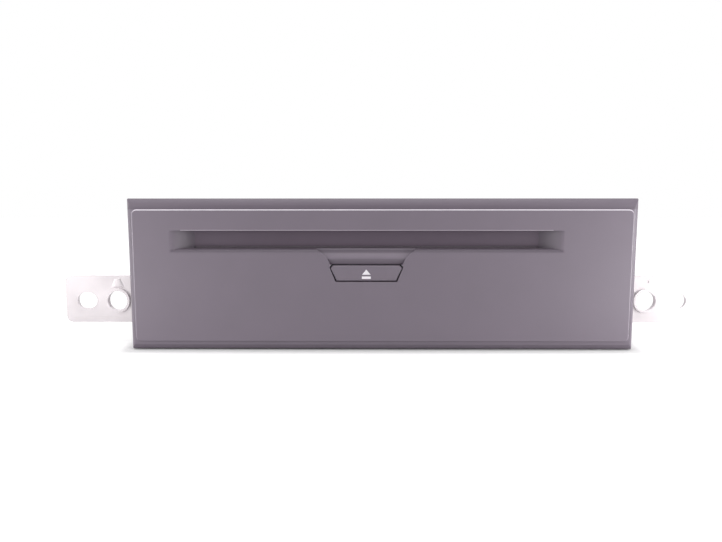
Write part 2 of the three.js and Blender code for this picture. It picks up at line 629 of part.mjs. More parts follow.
function rearConnector({ left, right, top, rows, columns }) {
  const bottom = boardTop + seatGap;
  const body = block([left, connector.front, bottom], [right, overallDepth, top]);
  const wall = connector.wall;
  const socketFloor = connector.front + connector.floor;
  const socket = block([left + wall, socketFloor, bottom + wall],
    [right - wall, overallDepth + overrun, top - wall]);
  const pins = [];
  for (let row = 0; row < rows; row += 1) {
    for (let column = 0; column < columns; column += 1) {
      const x = left + ((right - left) * (column + 0.5)) / columns;
      const z = bottom + ((top - bottom) * (row + 0.5)) / rows;
      pins.push(block([x - connector.pinRadius, socketFloor - overrun, z - connector.pinRadius],
        [x + connector.pinRadius, socketFloor + connector.pinLength, z + connector.pinRadius]));
    }
  }
  return join(cut(body, socket), pins);
}
for (const [name, plug, finish] of connectors) add(name, rearConnector(plug), finish);

// Mechanism frame: a channel of sheet steel with tabs that hang in four rubber dampers

const mechFloorTop = mech.base + mech.sheet;
const damper = { radius: 5.2, neck: 2.7, cap: 4.3, capHeight: 1.9, bodyShare: 0.8 };
const guideStud = { frontY: 46, rearY: 84, z: 33, radius: 1.5 };
const spindleLead = { motor: 28, armNose: 14, window: 18, traverse: 20, sledMotor: 1 };
const motor = { y: spindleY - spindleLead.motor, z: 28, radius: 6.4, length: 24, bore: 1.3, boreDepth: 3 };

const wallOuter = mechHalf;
const wallInner = mechHalf - mech.sheet;
const layerOne = -(wallOuter + gearLayer.inset);
const layerOneEnd = layerOne - gearLayer.thickness;
const pulley = { core: 8, motorCore: 2.4, flange: 1.3, rim: 0.5, groove: 1.7, belt: 1.1, beltThickness: 0.9 };
const pulleyEnd = layerOneEnd - gearLayer.gap - 2 * pulley.rim - pulley.groove;
const stubRadius = 1.2;
const boreRadius = stubRadius + seatGap;
const slider = { gap: 0.4, sheet: 1, front: 15.5, rear: 96, bottom: 27.5, top: 39.5, travel: 8, play: 0.4 };
const sliderOuter = wallOuter + slider.gap + slider.sheet;
const mechPlace = [mechCentreX, 0, 0];

function mechFrame() {
  const floor = block([-wallOuter, mech.front, mech.base], [wallOuter, mechRear, mechFloorTop]);
  const walls = sides.map(([side]) => block([side * wallInner, mech.wallFront, mech.base],
    [side * wallOuter, mechRear, mech.wallTop]));
  const tabs = sides.flatMap(([side]) => [damperSpot.frontY, damperSpot.rearY].map((y) => block(
    [side * (wallOuter - overrun), y - tab.halfLength, mech.base],
    [side * tabReach, y + tab.halfLength, mechFloorTop])));
  const damperHoles = sides.flatMap(([side]) => [damperSpot.frontY, damperSpot.rearY].map((y) => rodZ(
    mech.base - overrun, mechFloorTop + overrun, side * damperSpot.x, y, damper.neck + seatGap)));
  const studs = [guideStud.frontY, guideStud.rearY].map((y) => rodX(wallInner, sliderOuter + seatGap, y,
    guideStud.z, guideStud.radius, smallSides));
  const pivotHoles = sides.map(([side]) => rodX(side * (wallInner - overrun), side * (wallOuter + overrun),
    bracketPivot.y, bracketPivot.z, boreRadius, smallSides));
  const motorHole = rodX(-(wallInner - overrun), -(wallOuter + overrun), motor.y, motor.z, boreRadius,
    smallSides);
  return join(cut(join(floor, walls, tabs), damperHoles, pivotHoles, motorHole), studs);
}
add('mech_frame', mechFrame(), 'zincSteel', mechPlace);

function damperBody() {
  const low = damperSpot.postTop + seatGap;
  const high = mech.base - seatGap;
  const middle = (low + high) / 2;
  const capBottom = mechFloorTop + seatGap;
  return turned([[0, low], [damper.radius, low], [damper.radius, middle - damper.neck / 2],
    [damper.radius * damper.bodyShare, middle], [damper.radius, middle + damper.neck / 2],
    [damper.radius, high], [damper.neck, high], [damper.neck, capBottom], [damper.cap, capBottom],
    [damper.neck, capBottom + damper.capHeight], [0, capBottom + damper.capHeight]], smallSides);
}
for (const [side, word] of sides) {
  for (const [end, y] of [['front', damperSpot.frontY], ['rear', damperSpot.rearY]]) {
    add(`damper_${word}_${end}`, damperBody(), 'blackRubber', [mechCentreX + side * damperSpot.x, y, 0]);
  }
}

// Disc guide plate over the mechanism, with a window for the clamp arm and lugs for its hinge

const mechInset = { guideOver: 2, hinge: 3, window: 10, triggerPivot: 8, triggerTip: 10.3, traverse: 1,
  rodHolder: 6, arm: 1.8, frontGuide: 4 };
const guide = { underside: mech.wallTop + seatGap, sheet: 1, front: 14.5,
  rear: mechRear + mechInset.guideOver };
const guideTop = guide.underside + guide.sheet;
const arm = { half: 15, noseHalf: 7.5, waistHalf: 11, taper: 16, z: 46.3, sheet: 1.2,
  front: spindleY - spindleLead.armNose, hingeY: mechRear - mechInset.hinge, pinRadius: 1.25, pinReach: 19 };
const armWindow = { width: 36, front: spindleY - spindleLead.window, rear: mechRear - mechInset.window };
const lug = { inner: 16.2, outer: 18.2, halfLength: 3.4, top: 49.2 };
const hingeZ = arm.z + arm.sheet / 2;
const trigger = { pivotX: 30, pivotY: mechRear - mechInset.triggerPivot, tipX: 6,
  tipY: mechRear - mechInset.triggerTip, z: 42.6, sheet: 1.2, pivotRadius: 2.5, tipRadius: 2, pinRadius: 1.2,
  pinBottom: 37.8 };
const peg = { x: 40, y: 24, radius: 1.5, rise: 1.2 };

function discGuidePlate() {
  const plate = block([-wallOuter, guide.front, guide.underside], [wallOuter, guide.rear, guideTop]);
  const window = block([-armWindow.width / 2, armWindow.front, guide.underside - overrun],
    [armWindow.width / 2, armWindow.rear, guideTop + overrun]);
  const lugs = sides.map(([side]) => cut(
    block([side * lug.inner, arm.hingeY - lug.halfLength, guideTop - guide.sheet / 2],
      [side * lug.outer, arm.hingeY + lug.halfLength, lug.top]),
    rodX(side * (lug.inner - overrun), side * (lug.outer + overrun), arm.hingeY, hingeZ,
      arm.pinRadius + seatGap, smallSides),
  ));
  const studBottom = trigger.z - seatGap;
  const stud = join(
    rodZ(studBottom - seatGap, guide.underside + guide.sheet / 2, trigger.pivotX, trigger.pivotY, stubRadius,
      smallSides),
    rodZ(studBottom - 2 * seatGap, studBottom, trigger.pivotX, trigger.pivotY, 2 * stubRadius, smallSides),
  );
  const pegHoles = sides.map(([side]) => rodZ(guide.underside - overrun, guideTop + overrun, side * peg.x,
    peg.y, peg.radius + seatGap, smallSides));
  return join(cut(plate, window, pegHoles), lugs, stud);
}
add('disc_guide_plate', discGuidePlate(), 'zincSteel', mechPlace);

const frontGuide = { halfWidth: mechHalf - mechInset.frontGuide, front: 14.5, rear: 27, underside: 41,
  leadIn: 2.4 };

function frontDiscGuide() {
  const top = guide.underside - seatGap;
  const bar = prismX(outline([frontGuide.front, frontGuide.underside + frontGuide.leadIn],
    [frontGuide.front + frontGuide.leadIn, frontGuide.underside], [frontGuide.rear, frontGuide.underside],
    [frontGuide.rear, top], [frontGuide.front, top]), -frontGuide.halfWidth, frontGuide.halfWidth);
  const pegs = sides.map(([side]) => rodZ(top - seatGap, guideTop + peg.rise, side * peg.x, peg.y, peg.radius,
    smallSides));
  return join(bar, pegs);
}
add('front_disc_guide', frontDiscGuide(), 'blackPlastic', mechPlace);

// Roller bracket: two arms and a cross bar that swing on pins in the frame's walls. The left pin is longer
// and carries the pulley gear, so the gears stay in mesh while the roller drops.

const rollerArm = { outer: mechHalf - mechInset.arm, sheet: 1, noseRadius: 2.8, barDrop: 3.6, barLength: 5 };

function rollerBracket() {
  const barFront = bracketPivot.y - rollerArm.barLength / 2;
  const barRear = bracketPivot.y + rollerArm.barLength / 2;
  const barTop = bracketPivot.z - rollerArm.barDrop;
  const arms = sides.map(([side]) => {
    const inner = side * (rollerArm.outer - rollerArm.sheet);
    const outer = side * rollerArm.outer;
    const nose = rodX(inner, outer, roller.y, roller.z, rollerArm.noseRadius, smallSides);
    const heel = rodX(inner, outer, bracketPivot.y, bracketPivot.z, rollerArm.noseRadius, smallSides);
    const web = prismX(outline([roller.y, roller.z - rollerArm.noseRadius],
      [bracketPivot.y, bracketPivot.z - rollerArm.noseRadius],
      [bracketPivot.y, bracketPivot.z + rollerArm.noseRadius], [roller.y, roller.z + rollerArm.noseRadius]),
    inner, outer);
    const foot = block([inner, barFront, barTop - rollerArm.sheet], [outer, barRear, bracketPivot.z]);
    const pinEnd = side < 0 ? pulleyEnd - seatGap : wallOuter;
    const pin = rodX(inner, pinEnd, bracketPivot.y, bracketPivot.z, stubRadius, smallSides);
    return cut(join(nose, heel, web, foot, pin), rodX(inner - side * overrun, outer + side * overrun,
      roller.y, roller.z, roller.shaftRadius + seatGap, smallSides));
  });
  const bar = block([-rollerArm.outer, barFront, barTop - rollerArm.sheet],
    [rollerArm.outer, barRear, barTop]);
  return join(arms, bar);
}
add('roller_bracket', rollerBracket(), 'darkSteel', mechPlace);

add('roller_shaft', rodX(layerOneEnd, sliderOuter + seatGap, roller.y, roller.z, roller.shaftRadius,
  smallSides), 'brightSteel', mechPlace);

function feedRoller() {
  const bore = roller.shaftRadius + seatGap;
  return turned([[bore, roller.inner], [roller.middleRadius, roller.inner], [roller.endRadius, roller.outer],
    [bore, roller.outer], [bore, roller.inner]]);
}
for (const [side, word] of sides) {
  add(`feed_roller_${word}`, feedRoller(), 'blackRubber', [mechCentreX, roller.y, roller.z],
    alongX.clone().multiplyScalar(side));
}

// Loading drive on the left wall: roller gear, pulley gear, belt, and motor with its pulley. A gear is drawn
// with a tooth pointing at a given angle from Y towards Z.

const toothShares = { root: 0.3, tip: 0.11, addendum: 0.9, dedendum: 1.2 };

function gearOutline(count, y, z, toothAngle) {
  const pitchRadius = (gearModule * count) / 2;
  const step = (2 * Math.PI) / count;
  const tip = pitchRadius + gearModule * toothShares.addendum;
  const root = pitchRadius - gearModule * toothShares.dedendum;
  const flank = [[-toothShares.root, root], [-toothShares.tip, tip], [toothShares.tip, tip],
    [toothShares.root, root]];
  return Array.from({ length: count }, (_, k) => flank.map(([share, radius]) => {
    const angle = toothAngle + (k + share) * step;
    return new THREE.Vector2(y + radius * Math.cos(angle), z + radius * Math.sin(angle));
  })).flat();
}

// The roller gear points a tooth at the pulley gear, which shows it a gap
const towardsPulley = Math.atan2(bracketPivot.z - roller.z, bracketPivot.y - roller.y);
const pulleyToothAngle = towardsPulley + Math.PI + Math.PI / toothCount.pulley;

const shaftBore = circle(roller.y, roller.z, roller.shaftRadius + seatGap, smallSides);
add('roller_gear', prismX(gearOutline(toothCount.roller, roller.y, roller.z, towardsPulley), layerOneEnd,
  layerOne, [shaftBore]), 'whiteAcetal', mechPlace);

// A grooved pulley from its inner face outwards
function grooved(core, y, z, start) {
  const floorStart = start - pulley.rim;
  const floorEnd = floorStart - pulley.groove;
  return join(
    rodX(start, floorStart, y, z, core + pulley.flange),
    rodX(start, floorEnd - pulley.rim, y, z, core),
    rodX(floorEnd, floorEnd - pulley.rim, y, z, core + pulley.flange),
  );
}

function pulleyGear() {
  const { y, z } = bracketPivot;
  const pulleyStart = layerOneEnd - gearLayer.gap;
  return cut(
    join(
      prismX(gearOutline(toothCount.pulley, y, z, pulleyToothAngle), layerOneEnd, layerOne),
      rodX(layerOne, pulleyStart, y, z, pulley.core),
      grooved(pulley.core, y, z, pulleyStart),
    ),
    rodX(layerOne + overrun, pulleyEnd - overrun, y, z, boreRadius, smallSides),
  );
}
add('pulley_gear', pulleyGear(), 'whiteAcetal', mechPlace);

// A belt's outline round both pulleys, at a clearance from their cores
function beltOutline(clearance) {
  const away = Math.atan2(motor.z - bracketPivot.z, motor.y - bracketPivot.y);
  const distance = Math.hypot(motor.z - bracketPivot.z, motor.y - bracketPivot.y);
  const wrap = Math.acos((pulley.core - pulley.motorCore) / distance);
  const arc = (y, z, radius, from, to) => Array.from({ length: smallSides + 1 }, (_, k) => {
    const angle = from + ((to - from) * k) / smallSides;
    return new THREE.Vector2(y + radius * Math.cos(angle), z + radius * Math.sin(angle));
  });
  return [
    ...arc(bracketPivot.y, bracketPivot.z, pulley.core + clearance, away + wrap, away + 2 * Math.PI - wrap),
    ...arc(motor.y, motor.z, pulley.motorCore + clearance, away - wrap, away + wrap),
  ];
}
const beltStart = layerOneEnd - gearLayer.gap - pulley.rim - (pulley.groove - pulley.belt) / 2;
add('drive_belt', prismX(beltOutline(seatGap + pulley.beltThickness), beltStart, beltStart - pulley.belt,
  [beltOutline(seatGap)]), 'blackRubber', mechPlace);

function loadingMotor() {
  const inner = -(wallInner - seatGap);
  const can = rodX(inner, inner + motor.length, motor.y, motor.z, motor.radius);
  return cut(can, rodX(inner - overrun, inner + motor.boreDepth, motor.y, motor.z, motor.bore, smallSides));
}
add('loading_motor', loadingMotor(), 'brightSteel', mechPlace);

function motorPulley() {
  const shaftEnd = -(wallInner - seatGap) + motor.boreDepth - seatGap;
  return join(grooved(pulley.motorCore, motor.y, motor.z, layerOneEnd - gearLayer.gap),
    rodX(pulleyEnd, shaftEnd, motor.y, motor.z, motor.bore - seatGap, smallSides));
}
add('motor_pulley', motorPulley(), 'whiteAcetal', mechPlace);

// Cam slider outside the right wall: its slanting slot lowers the roller shaft as it slides forward

function camSlider() {
  const slotHalf = roller.shaftRadius + slider.play;
  const start = [roller.y, roller.z];
  const end = [roller.y + slider.travel, roller.z - rollerDrop];
  const slant = Math.atan2(end[1] - start[1], end[0] - start[0]);
  const arc = (centre, from) => Array.from({ length: smallSides / 2 + 1 }, (_, k) => {
    const angle = from + (Math.PI * k) / (smallSides / 2);
    return [centre[0] + slotHalf * Math.cos(angle), centre[1] + slotHalf * Math.sin(angle)];
  });
  const camSlot = outline(...arc(start, slant + Math.PI / 2), ...arc(end, slant - Math.PI / 2));
  const studSlots = [guideStud.frontY, guideStud.rearY].map((y) => obround(y + slider.travel / 2, guideStud.z,
    slider.travel, guideStud.radius + seatGap, smallSides));
  const noseEnd = end[0] + 3 * slotHalf;
  const plate = outline([slider.front, slider.bottom], [slider.rear, slider.bottom],
    [slider.rear, guideStud.z + 2 * guideStud.radius], [noseEnd, slider.top], [slider.front, slider.top]);
  return prismX(plate, sliderOuter - slider.sheet, sliderOuter, [camSlot, ...studSlots]);
}
add('cam_slider', camSlider(), 'greyAcetal', mechPlace);

// Clamp arm and the magnetic clamper that hangs in it

const clamp = { holeRadius: 4.6, neckRadius: 4, capRadius: 7, capHeight: 1.4, radius: 12, bottom: 42,
  bodyTop: 45.6, recessRadius: 8.2, recessDepth: 1.9, edge: 2 };

function clampArm() {
  const top = arm.z + arm.sheet;
  const hingeFront = arm.hingeY - arm.pinRadius;
  const hingeRear = arm.hingeY + arm.pinRadius;
  const plate = prismZ(outline([-arm.half, hingeFront], [-arm.waistHalf, arm.front + arm.taper],
    [-arm.noseHalf, arm.front], [arm.noseHalf, arm.front], [arm.waistHalf, arm.front + arm.taper],
    [arm.half, hingeFront], [arm.half, hingeRear], [-arm.half, hingeRear]), arm.z, top);
  const pins = rodX(-arm.pinReach, arm.pinReach, arm.hingeY, hingeZ, arm.pinRadius, smallSides);
  return cut(join(plate, pins), rodZ(arm.z - overrun, top + overrun, 0, spindleY, clamp.holeRadius));
}
add('clamp_arm', clampArm(), 'darkSteel', mechPlace);

function clamper() {
  const capBottom = arm.z + arm.sheet + seatGap;
  const capTop = capBottom + clamp.capHeight;
  const ceiling = clamp.bottom + clamp.recessDepth;
  return turned([[0, ceiling], [clamp.recessRadius, ceiling], [clamp.recessRadius, clamp.bottom],
    [clamp.radius, clamp.bottom], [clamp.radius, clamp.bottom + clamp.edge],
    [clamp.radius - clamp.edge, clamp.bodyTop], [clamp.neckRadius, clamp.bodyTop],
    [clamp.neckRadius, capBottom], [clamp.capRadius, capBottom], [clamp.capRadius, capTop], [0, capTop]]);
}
add('clamper', clamper(), 'whiteAcetal', [mechCentreX, spindleY, 0]);

// Trigger lever under the guide plate: the disc's rear edge pushes its pin

function triggerLever() {
  const top = trigger.z + trigger.sheet;
  const { pivotX, pivotY, tipX, tipY, pivotRadius, tipRadius } = trigger;
  const lever = join(
    rodZ(trigger.z, top, pivotX, pivotY, pivotRadius, smallSides),
    rodZ(trigger.z, top, tipX, tipY, tipRadius, smallSides),
    prismZ(outline([pivotX, pivotY - pivotRadius], [pivotX, pivotY + pivotRadius], [tipX, tipY + tipRadius],
      [tipX, tipY - tipRadius]), trigger.z, top),
    rodZ(trigger.pinBottom, top, tipX, tipY, trigger.pinRadius, smallSides),
  );
  return cut(lever, rodZ(trigger.z - overrun, top + overrun, pivotX, pivotY, boreRadius, smallSides));
}
add('trigger_lever', triggerLever(), 'blackPlastic', mechPlace);

// Traverse base with the spindle motor, the pickup sled, its guide rods and its lead screw

const spindleTrail = { rodHolder: 10, sledMotor: 12, lens: 24 };
const traverse = { halfWidth: 42, front: spindleY - spindleLead.traverse, rear: mechRear - mechInset.traverse,
  sheet: 1, lift: 1.2, footRadius: 4 };
const traverseTop = mechFloorTop + seatGap + traverse.lift + traverse.sheet;
const rod = { x: 24, z: 28.5, radius: 1.5, holderFront: spindleY + spindleTrail.rodHolder,
  holderRear: mechRear - mechInset.rodHolder, holder: 4, holderHalf: 3 };
const sled = { lensY: spindleY + spindleTrail.lens, halfLength: 8.5, halfWidth: 28, bottom: 25.6, top: 31.8 };
const screwDrive = { x: -33, radius: 1.3, motorRadius: 4.7, motorFront: spindleY - spindleLead.sledMotor,
  motorRear: spindleY + spindleTrail.sledMotor, clearance: 0.4 };
const spindle = { motorRadius: 12.5, motorTop: 31.2, bore: 1.5, boreBottom: 26, platterRadius: 15,
  platter: 1.8, hubRadius: 7.4, hubRise: 2, hubTaper: 1, collar: 4, shaftBottom: 27 };

function traverseBase() {
  const low = traverseTop - traverse.sheet;
  const plate = block([-traverse.halfWidth, traverse.front, low],
    [traverse.halfWidth, traverse.rear, traverseTop]);
  const footX = traverse.halfWidth - traverse.footRadius;
  const footYs = [traverse.front + traverse.footRadius, traverse.rear - traverse.footRadius];
  const feet = sides.flatMap(([side]) => footYs.map((y) => rodZ(mechFloorTop + seatGap,
    low + traverse.sheet / 2, side * footX, y, traverse.footRadius, smallSides)));
  const holders = sides.flatMap(([side]) => [rod.holderFront, rod.holderRear].map((y) => cut(
    block([side * rod.x - rod.holderHalf, y, low], [side * rod.x + rod.holderHalf, y + rod.holder,
      rod.z + rod.holderHalf]),
    rodY(y - overrun, y + rod.holder + overrun, side * rod.x, rod.z, rod.radius + seatGap, smallSides),
  )));
  const screwHolder = cut(block([screwDrive.x - rod.holderHalf, rod.holderRear, low],
    [screwDrive.x + rod.holderHalf, rod.holderRear + rod.holder, rod.z + rod.holderHalf]),
  rodY(rod.holderRear - overrun, rod.holderRear + rod.holder + overrun, screwDrive.x, rod.z,
    screwDrive.radius + seatGap, smallSides));
  return join(plate, feet, holders, screwHolder);
}
add('traverse_base', traverseBase(), 'darkSteel', mechPlace);

const motorSeat = traverseTop + seatGap;
add('spindle_motor', cut(rodZ(motorSeat, spindle.motorTop, 0, spindleY, spindle.motorRadius),
  rodZ(spindle.boreBottom, spindle.motorTop + overrun, 0, spindleY, spindle.bore, smallSides)),
'brightSteel', mechPlace);

function turntable() {
  const top = disc.playZ;
  const bottom = top - spindle.platter;
  const shaft = spindle.bore - seatGap;
  return turned([[0, spindle.shaftBottom], [shaft, spindle.shaftBottom], [shaft, spindle.motorTop + seatGap],
    [spindle.collar, spindle.motorTop + seatGap], [spindle.collar, bottom], [spindle.platterRadius, bottom],
    [spindle.platterRadius, top], [spindle.hubRadius, top],
    [spindle.hubRadius, top + spindle.hubRise / 2],
    [spindle.hubRadius - spindle.hubTaper, top + spindle.hubRise], [0, top + spindle.hubRise]]);
}
add('turntable', turntable(), 'blackPlastic', [mechCentreX, spindleY, 0]);

function pickupSled() {
  const front = sled.lensY - sled.halfLength;
  const rear = sled.lensY + sled.halfLength;
  const body = block([-sled.halfWidth, front, sled.bottom], [sled.halfWidth, rear, sled.top]);
  const nutEnd = screwDrive.x + screwDrive.radius + screwDrive.clearance;
  const nut = block([nutEnd, sled.lensY - rod.holderHalf, rod.z - rod.radius],
    [-sled.halfWidth + overrun, sled.lensY + rod.holderHalf, rod.z + rod.radius]);
  const bores = sides.map(([side]) => rodY(front - overrun, rear + overrun, side * rod.x, rod.z,
    rod.radius + seatGap, smallSides));
  return cut(join(body, nut), bores);
}
add('pickup_sled', pickupSled(), 'aluminium', mechPlace);

const lens = { radius: 3.6, rim: 0.6, height: 1.4 };
add('objective_lens', turned([[0, 0], [lens.radius, 0], [lens.radius, lens.height],
  [lens.radius - lens.rim, lens.height], [lens.radius - 2 * lens.rim, lens.height - lens.rim / 2],
  [lens.radius / 2, lens.height - lens.rim / 4], [0, lens.height]], smallSides), 'clearGlass',
[mechCentreX, sled.lensY, sled.top + seatGap]);

for (const [side, word] of sides) {
  add(`guide_rod_${word}`, rodY(rod.holderFront - seatGap, rod.holderRear + rod.holder + seatGap,
    side * rod.x, rod.z, rod.radius, smallSides), 'brightSteel', mechPlace);
}
add('lead_screw', rodY(screwDrive.motorRear - screwDrive.radius, rod.holderRear + rod.holder, screwDrive.x,
  rod.z, screwDrive.radius, smallSides), 'brightSteel', mechPlace);
add('sled_motor', cut(
  rodY(screwDrive.motorFront, screwDrive.motorRear, screwDrive.x, rod.z, screwDrive.motorRadius),
  rodY(screwDrive.motorRear - 2 * screwDrive.radius, screwDrive.motorRear + overrun, screwDrive.x, rod.z,
    screwDrive.radius + seatGap, smallSides),
), 'brightSteel', mechPlace);

export default drive;
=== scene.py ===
"""Slot-loading disc drive for a car dashboard: finishes, soft edges, small fittings, stage and light."""

import json
import math

import bmesh
import bpy
from mathutils import Matrix, Vector


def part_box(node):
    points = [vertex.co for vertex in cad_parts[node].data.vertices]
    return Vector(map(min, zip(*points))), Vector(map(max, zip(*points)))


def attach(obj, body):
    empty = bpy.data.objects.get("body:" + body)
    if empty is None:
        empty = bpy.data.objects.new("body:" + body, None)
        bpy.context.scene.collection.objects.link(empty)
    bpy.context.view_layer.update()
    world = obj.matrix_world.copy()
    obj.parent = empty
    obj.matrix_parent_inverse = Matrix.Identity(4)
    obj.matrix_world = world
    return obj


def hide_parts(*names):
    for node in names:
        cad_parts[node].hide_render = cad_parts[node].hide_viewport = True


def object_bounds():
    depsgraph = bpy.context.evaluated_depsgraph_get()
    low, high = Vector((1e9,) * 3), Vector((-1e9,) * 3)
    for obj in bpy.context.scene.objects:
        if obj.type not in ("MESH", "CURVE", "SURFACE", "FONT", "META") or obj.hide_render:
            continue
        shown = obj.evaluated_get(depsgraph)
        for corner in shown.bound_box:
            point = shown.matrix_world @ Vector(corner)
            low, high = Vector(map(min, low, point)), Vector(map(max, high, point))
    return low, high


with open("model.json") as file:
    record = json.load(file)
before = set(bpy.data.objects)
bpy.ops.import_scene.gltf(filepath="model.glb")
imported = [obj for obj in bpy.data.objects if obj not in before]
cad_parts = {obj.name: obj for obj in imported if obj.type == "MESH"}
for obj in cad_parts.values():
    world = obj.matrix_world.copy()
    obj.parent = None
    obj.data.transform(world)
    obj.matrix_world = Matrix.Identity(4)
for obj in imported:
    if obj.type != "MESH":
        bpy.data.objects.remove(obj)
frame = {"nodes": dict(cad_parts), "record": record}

cad_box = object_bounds()

# Lengths are in millimetres. X runs across, Y back, and Z up from the underside.

MM = 0.001
FACE_Y = round(cad_box[0][1] / MM, 3)   # the front face is the foremost thing on the drive
SLOT_CENTRE_X = -5.5                    # slot, button and mechanism lie this far left of the middle


def at(x, y, z):
    """A point of the drive in metres: x across, y back from the front face, z up, in millimetres."""
    return Vector((x, y + FACE_Y, z)) * MM


# Camera, as in the photograph: close in front, a little above the slot and looking slightly down

CAMERA_PLACE = (-0.00588, -0.28638, 0.04924)    # metres
CAMERA_DOWN = 5.80                              # degrees below level
CAMERA_LEFT = 0.437                             # degrees to the left
LENS_LENGTH = 27.92
SENSOR_WIDTH = 36
NEAREST_SEEN = 0.01                             # metres

camera = bpy.data.objects.new("camera", bpy.data.cameras.new("camera"))
bpy.context.scene.collection.objects.link(camera)
camera.location = CAMERA_PLACE
camera.rotation_euler = (math.radians(90 - CAMERA_DOWN), 0, math.radians(CAMERA_LEFT))
camera.data.lens = LENS_LENGTH
camera.data.sensor_width = SENSOR_WIDTH
camera.data.clip_start = NEAREST_SEEN
bpy.context.scene.camera = camera


# Materials

def linear(hex_colour):
    """An sRGB hex colour as linear red, green, blue and alpha."""
    channels = [int(hex_colour[i:i + 2], 16) / 255 for i in (1, 3, 5)]
    return [c / 12.92 if c <= 0.04045 else ((c + 0.055) / 1.055) ** 2.4 for c in channels] + [1]


def node(tree, kind, inputs=None, **settings):
    """Adds a node. A socket given as an input is linked, and anything else is set as its value."""
    made = tree.nodes.new(kind)
    for key, value in settings.items():
        setattr(made, key, value)
    for key, value in (inputs or {}).items():
        if isinstance(value, bpy.types.NodeSocket):
            tree.links.new(value, made.inputs[key])
        else:
            made.inputs[key].default_value = value
    return made


def finish(name, **sockets):
    """A material with its node tree, its shader and its Object coordinates in millimetres."""
    material = bpy.data.materials.new(name)
    material.use_nodes = True
    tree = material.node_tree
    shader = tree.nodes["Principled BSDF"]
    for key, value in sockets.items():
        shader.inputs[key.replace("_", " ")].default_value = value
    place = node(tree, "ShaderNodeTexCoord").outputs["Object"]
    millimetres = node(tree, "ShaderNodeVectorMath", {0: place, 3: 1 / MM}, operation="SCALE").outputs[0]
    return material, tree, shader, millimetres


WEAR_SCALE = 0.45               # the roughness drifts over patches about twice as wide as the colour's
NOISE_SPAN = (0.3, 0.7)         # nearly all values of a noise texture lie in this
GRAIN_STRENGTH = 0.6


def speckle(tree, shader, place, patch, dark, light, rough, grain, depth):
    """Gives a shader a colour and roughness that drift over patches of a size, and a fine grain of a size
    and depth, all in millimetres. Returns the colour, for a material that adds to it."""
    patches = node(tree, "ShaderNodeTexNoise", {"Vector": place, "Scale": 1 / patch, "Detail": 3.0})
    colour = node(tree, "ShaderNodeMix", {"Factor": patches.outputs["Fac"], "A": linear(dark),
                                          "B": linear(light)}, data_type="RGBA").outputs["Result"]
    tree.links.new(colour, shader.inputs["Base Color"])
    wear = node(tree, "ShaderNodeTexNoise", {"Vector": place, "Scale": WEAR_SCALE / patch, "Detail": 4.0})
    sheen = node(tree, "ShaderNodeMapRange", {"Value": wear.outputs["Fac"], "From Min": NOISE_SPAN[0],
                                              "From Max": NOISE_SPAN[1], "To Min": rough[0],
                                              "To Max": rough[1]})
    tree.links.new(sheen.outputs["Result"], shader.inputs["Roughness"])
    grains = node(tree, "ShaderNodeTexNoise", {"Vector": place, "Scale": 1 / grain, "Detail": 2.0})
    bump = node(tree, "ShaderNodeBump", {"Height": grains.outputs["Fac"], "Strength": GRAIN_STRENGTH,
                                         "Distance": depth * MM})
    tree.links.new(bump.outputs["Normal"], shader.inputs["Normal"])
    return colour


def speckled(name, patch, dark, light, rough, grain, depth, **sockets):
    """A material that is speckled and nothing else."""
    material, tree, shader, place = finish(name, **sockets)
    speckle(tree, shader, place, patch, dark, light, rough, grain, depth)
    return material


# Black ABS sprayed with a dull, slightly purple grey. The fine droplets soften the gloss. Painted shade
# darkens the grey towards black: inside the slot but less at its ends, over the slot's sill, under faces
# that look down, and in the corner between the top border and the raised panel. A painted highlight makes the
# upper half of the finger relief, where it faces up, a little paler.

SLOT_HALF = 70.6                # half the width of the slot's mouth
SLOT_ZONE = (40.6, 3.5)         # middle of the slot's height, and how far up and down the zone reaches
SLOT_DEPTHS = (0.6, 5.6)        # behind the face, where the painted shade in the slot begins and where it is darkest
END_SPAN = (60.5, 63.5)         # off the slot's centre, where its curved ends begin
END_SHARE = 0.6                 # how much of the darkening is left there
SILL_Z = 36.1
SILL_SPREAD = 0.9               # how far the painted shade over the sill reaches up and down
SILL_DEPTHS = (0.01, 0.16)      # it begins just behind the face
CORNER_SPAN = (51.0, 53.9)      # height of the falling top border
CORNER_FOOT = 50.98             # just under that span, so that the corner itself is in it
LEANING_DOWN = (-0.08, -0.4)    # upward share of a face's normal: where the painted shade under faces that look down begins, and is most
LEANING_UP = (0.08, 0.3)        # the same: where the relief's painted highlight begins, and is most
GRIP_ZONE = (34.3, 1.0)         # middle and half height of the relief's band that gets the painted highlight

front_abs, tree, shader, place = finish("sprayed_grey_ABS", IOR=1.52)
spray = speckle(tree, shader, place, patch=14, dark="#6f6671", light="#756b77", rough=(0.42, 0.5),
                grain=0.25, depth=0.006)
where = node(tree, "ShaderNodeSeparateXYZ", {"Vector": place}).outputs
facing = node(tree, "ShaderNodeNewGeometry").outputs["Normal"]
looks = node(tree, "ShaderNodeSeparateXYZ", {"Vector": facing}).outputs

in_width = node(tree, "ShaderNodeMath", {0: where["X"], 1: SLOT_CENTRE_X, 2: SLOT_HALF},
                operation="COMPARE").outputs[0]
in_height = node(tree, "ShaderNodeMath", {0: where["Z"], 1: SLOT_ZONE[0], 2: SLOT_ZONE[1]},
                 operation="COMPARE").outputs[0]
along = node(tree, "ShaderNodeMath", {0: where["X"], 1: SLOT_CENTRE_X}, operation="SUBTRACT").outputs[0]
off_centre = node(tree, "ShaderNodeMath", {0: along}, operation="ABSOLUTE").outputs[0]
open_ends = node(tree, "ShaderNodeMapRange", {"Value": off_centre, "From Min": END_SPAN[0],
                                              "From Max": END_SPAN[1], "To Min": 1.0,
                                              "To Max": END_SHARE}).outputs[0]
above_sill = node(tree, "ShaderNodeMath", {0: where["Z"], 1: SILL_Z}, operation="SUBTRACT").outputs[0]
off_sill = node(tree, "ShaderNodeMath", {0: above_sill}, operation="ABSOLUTE").outputs[0]
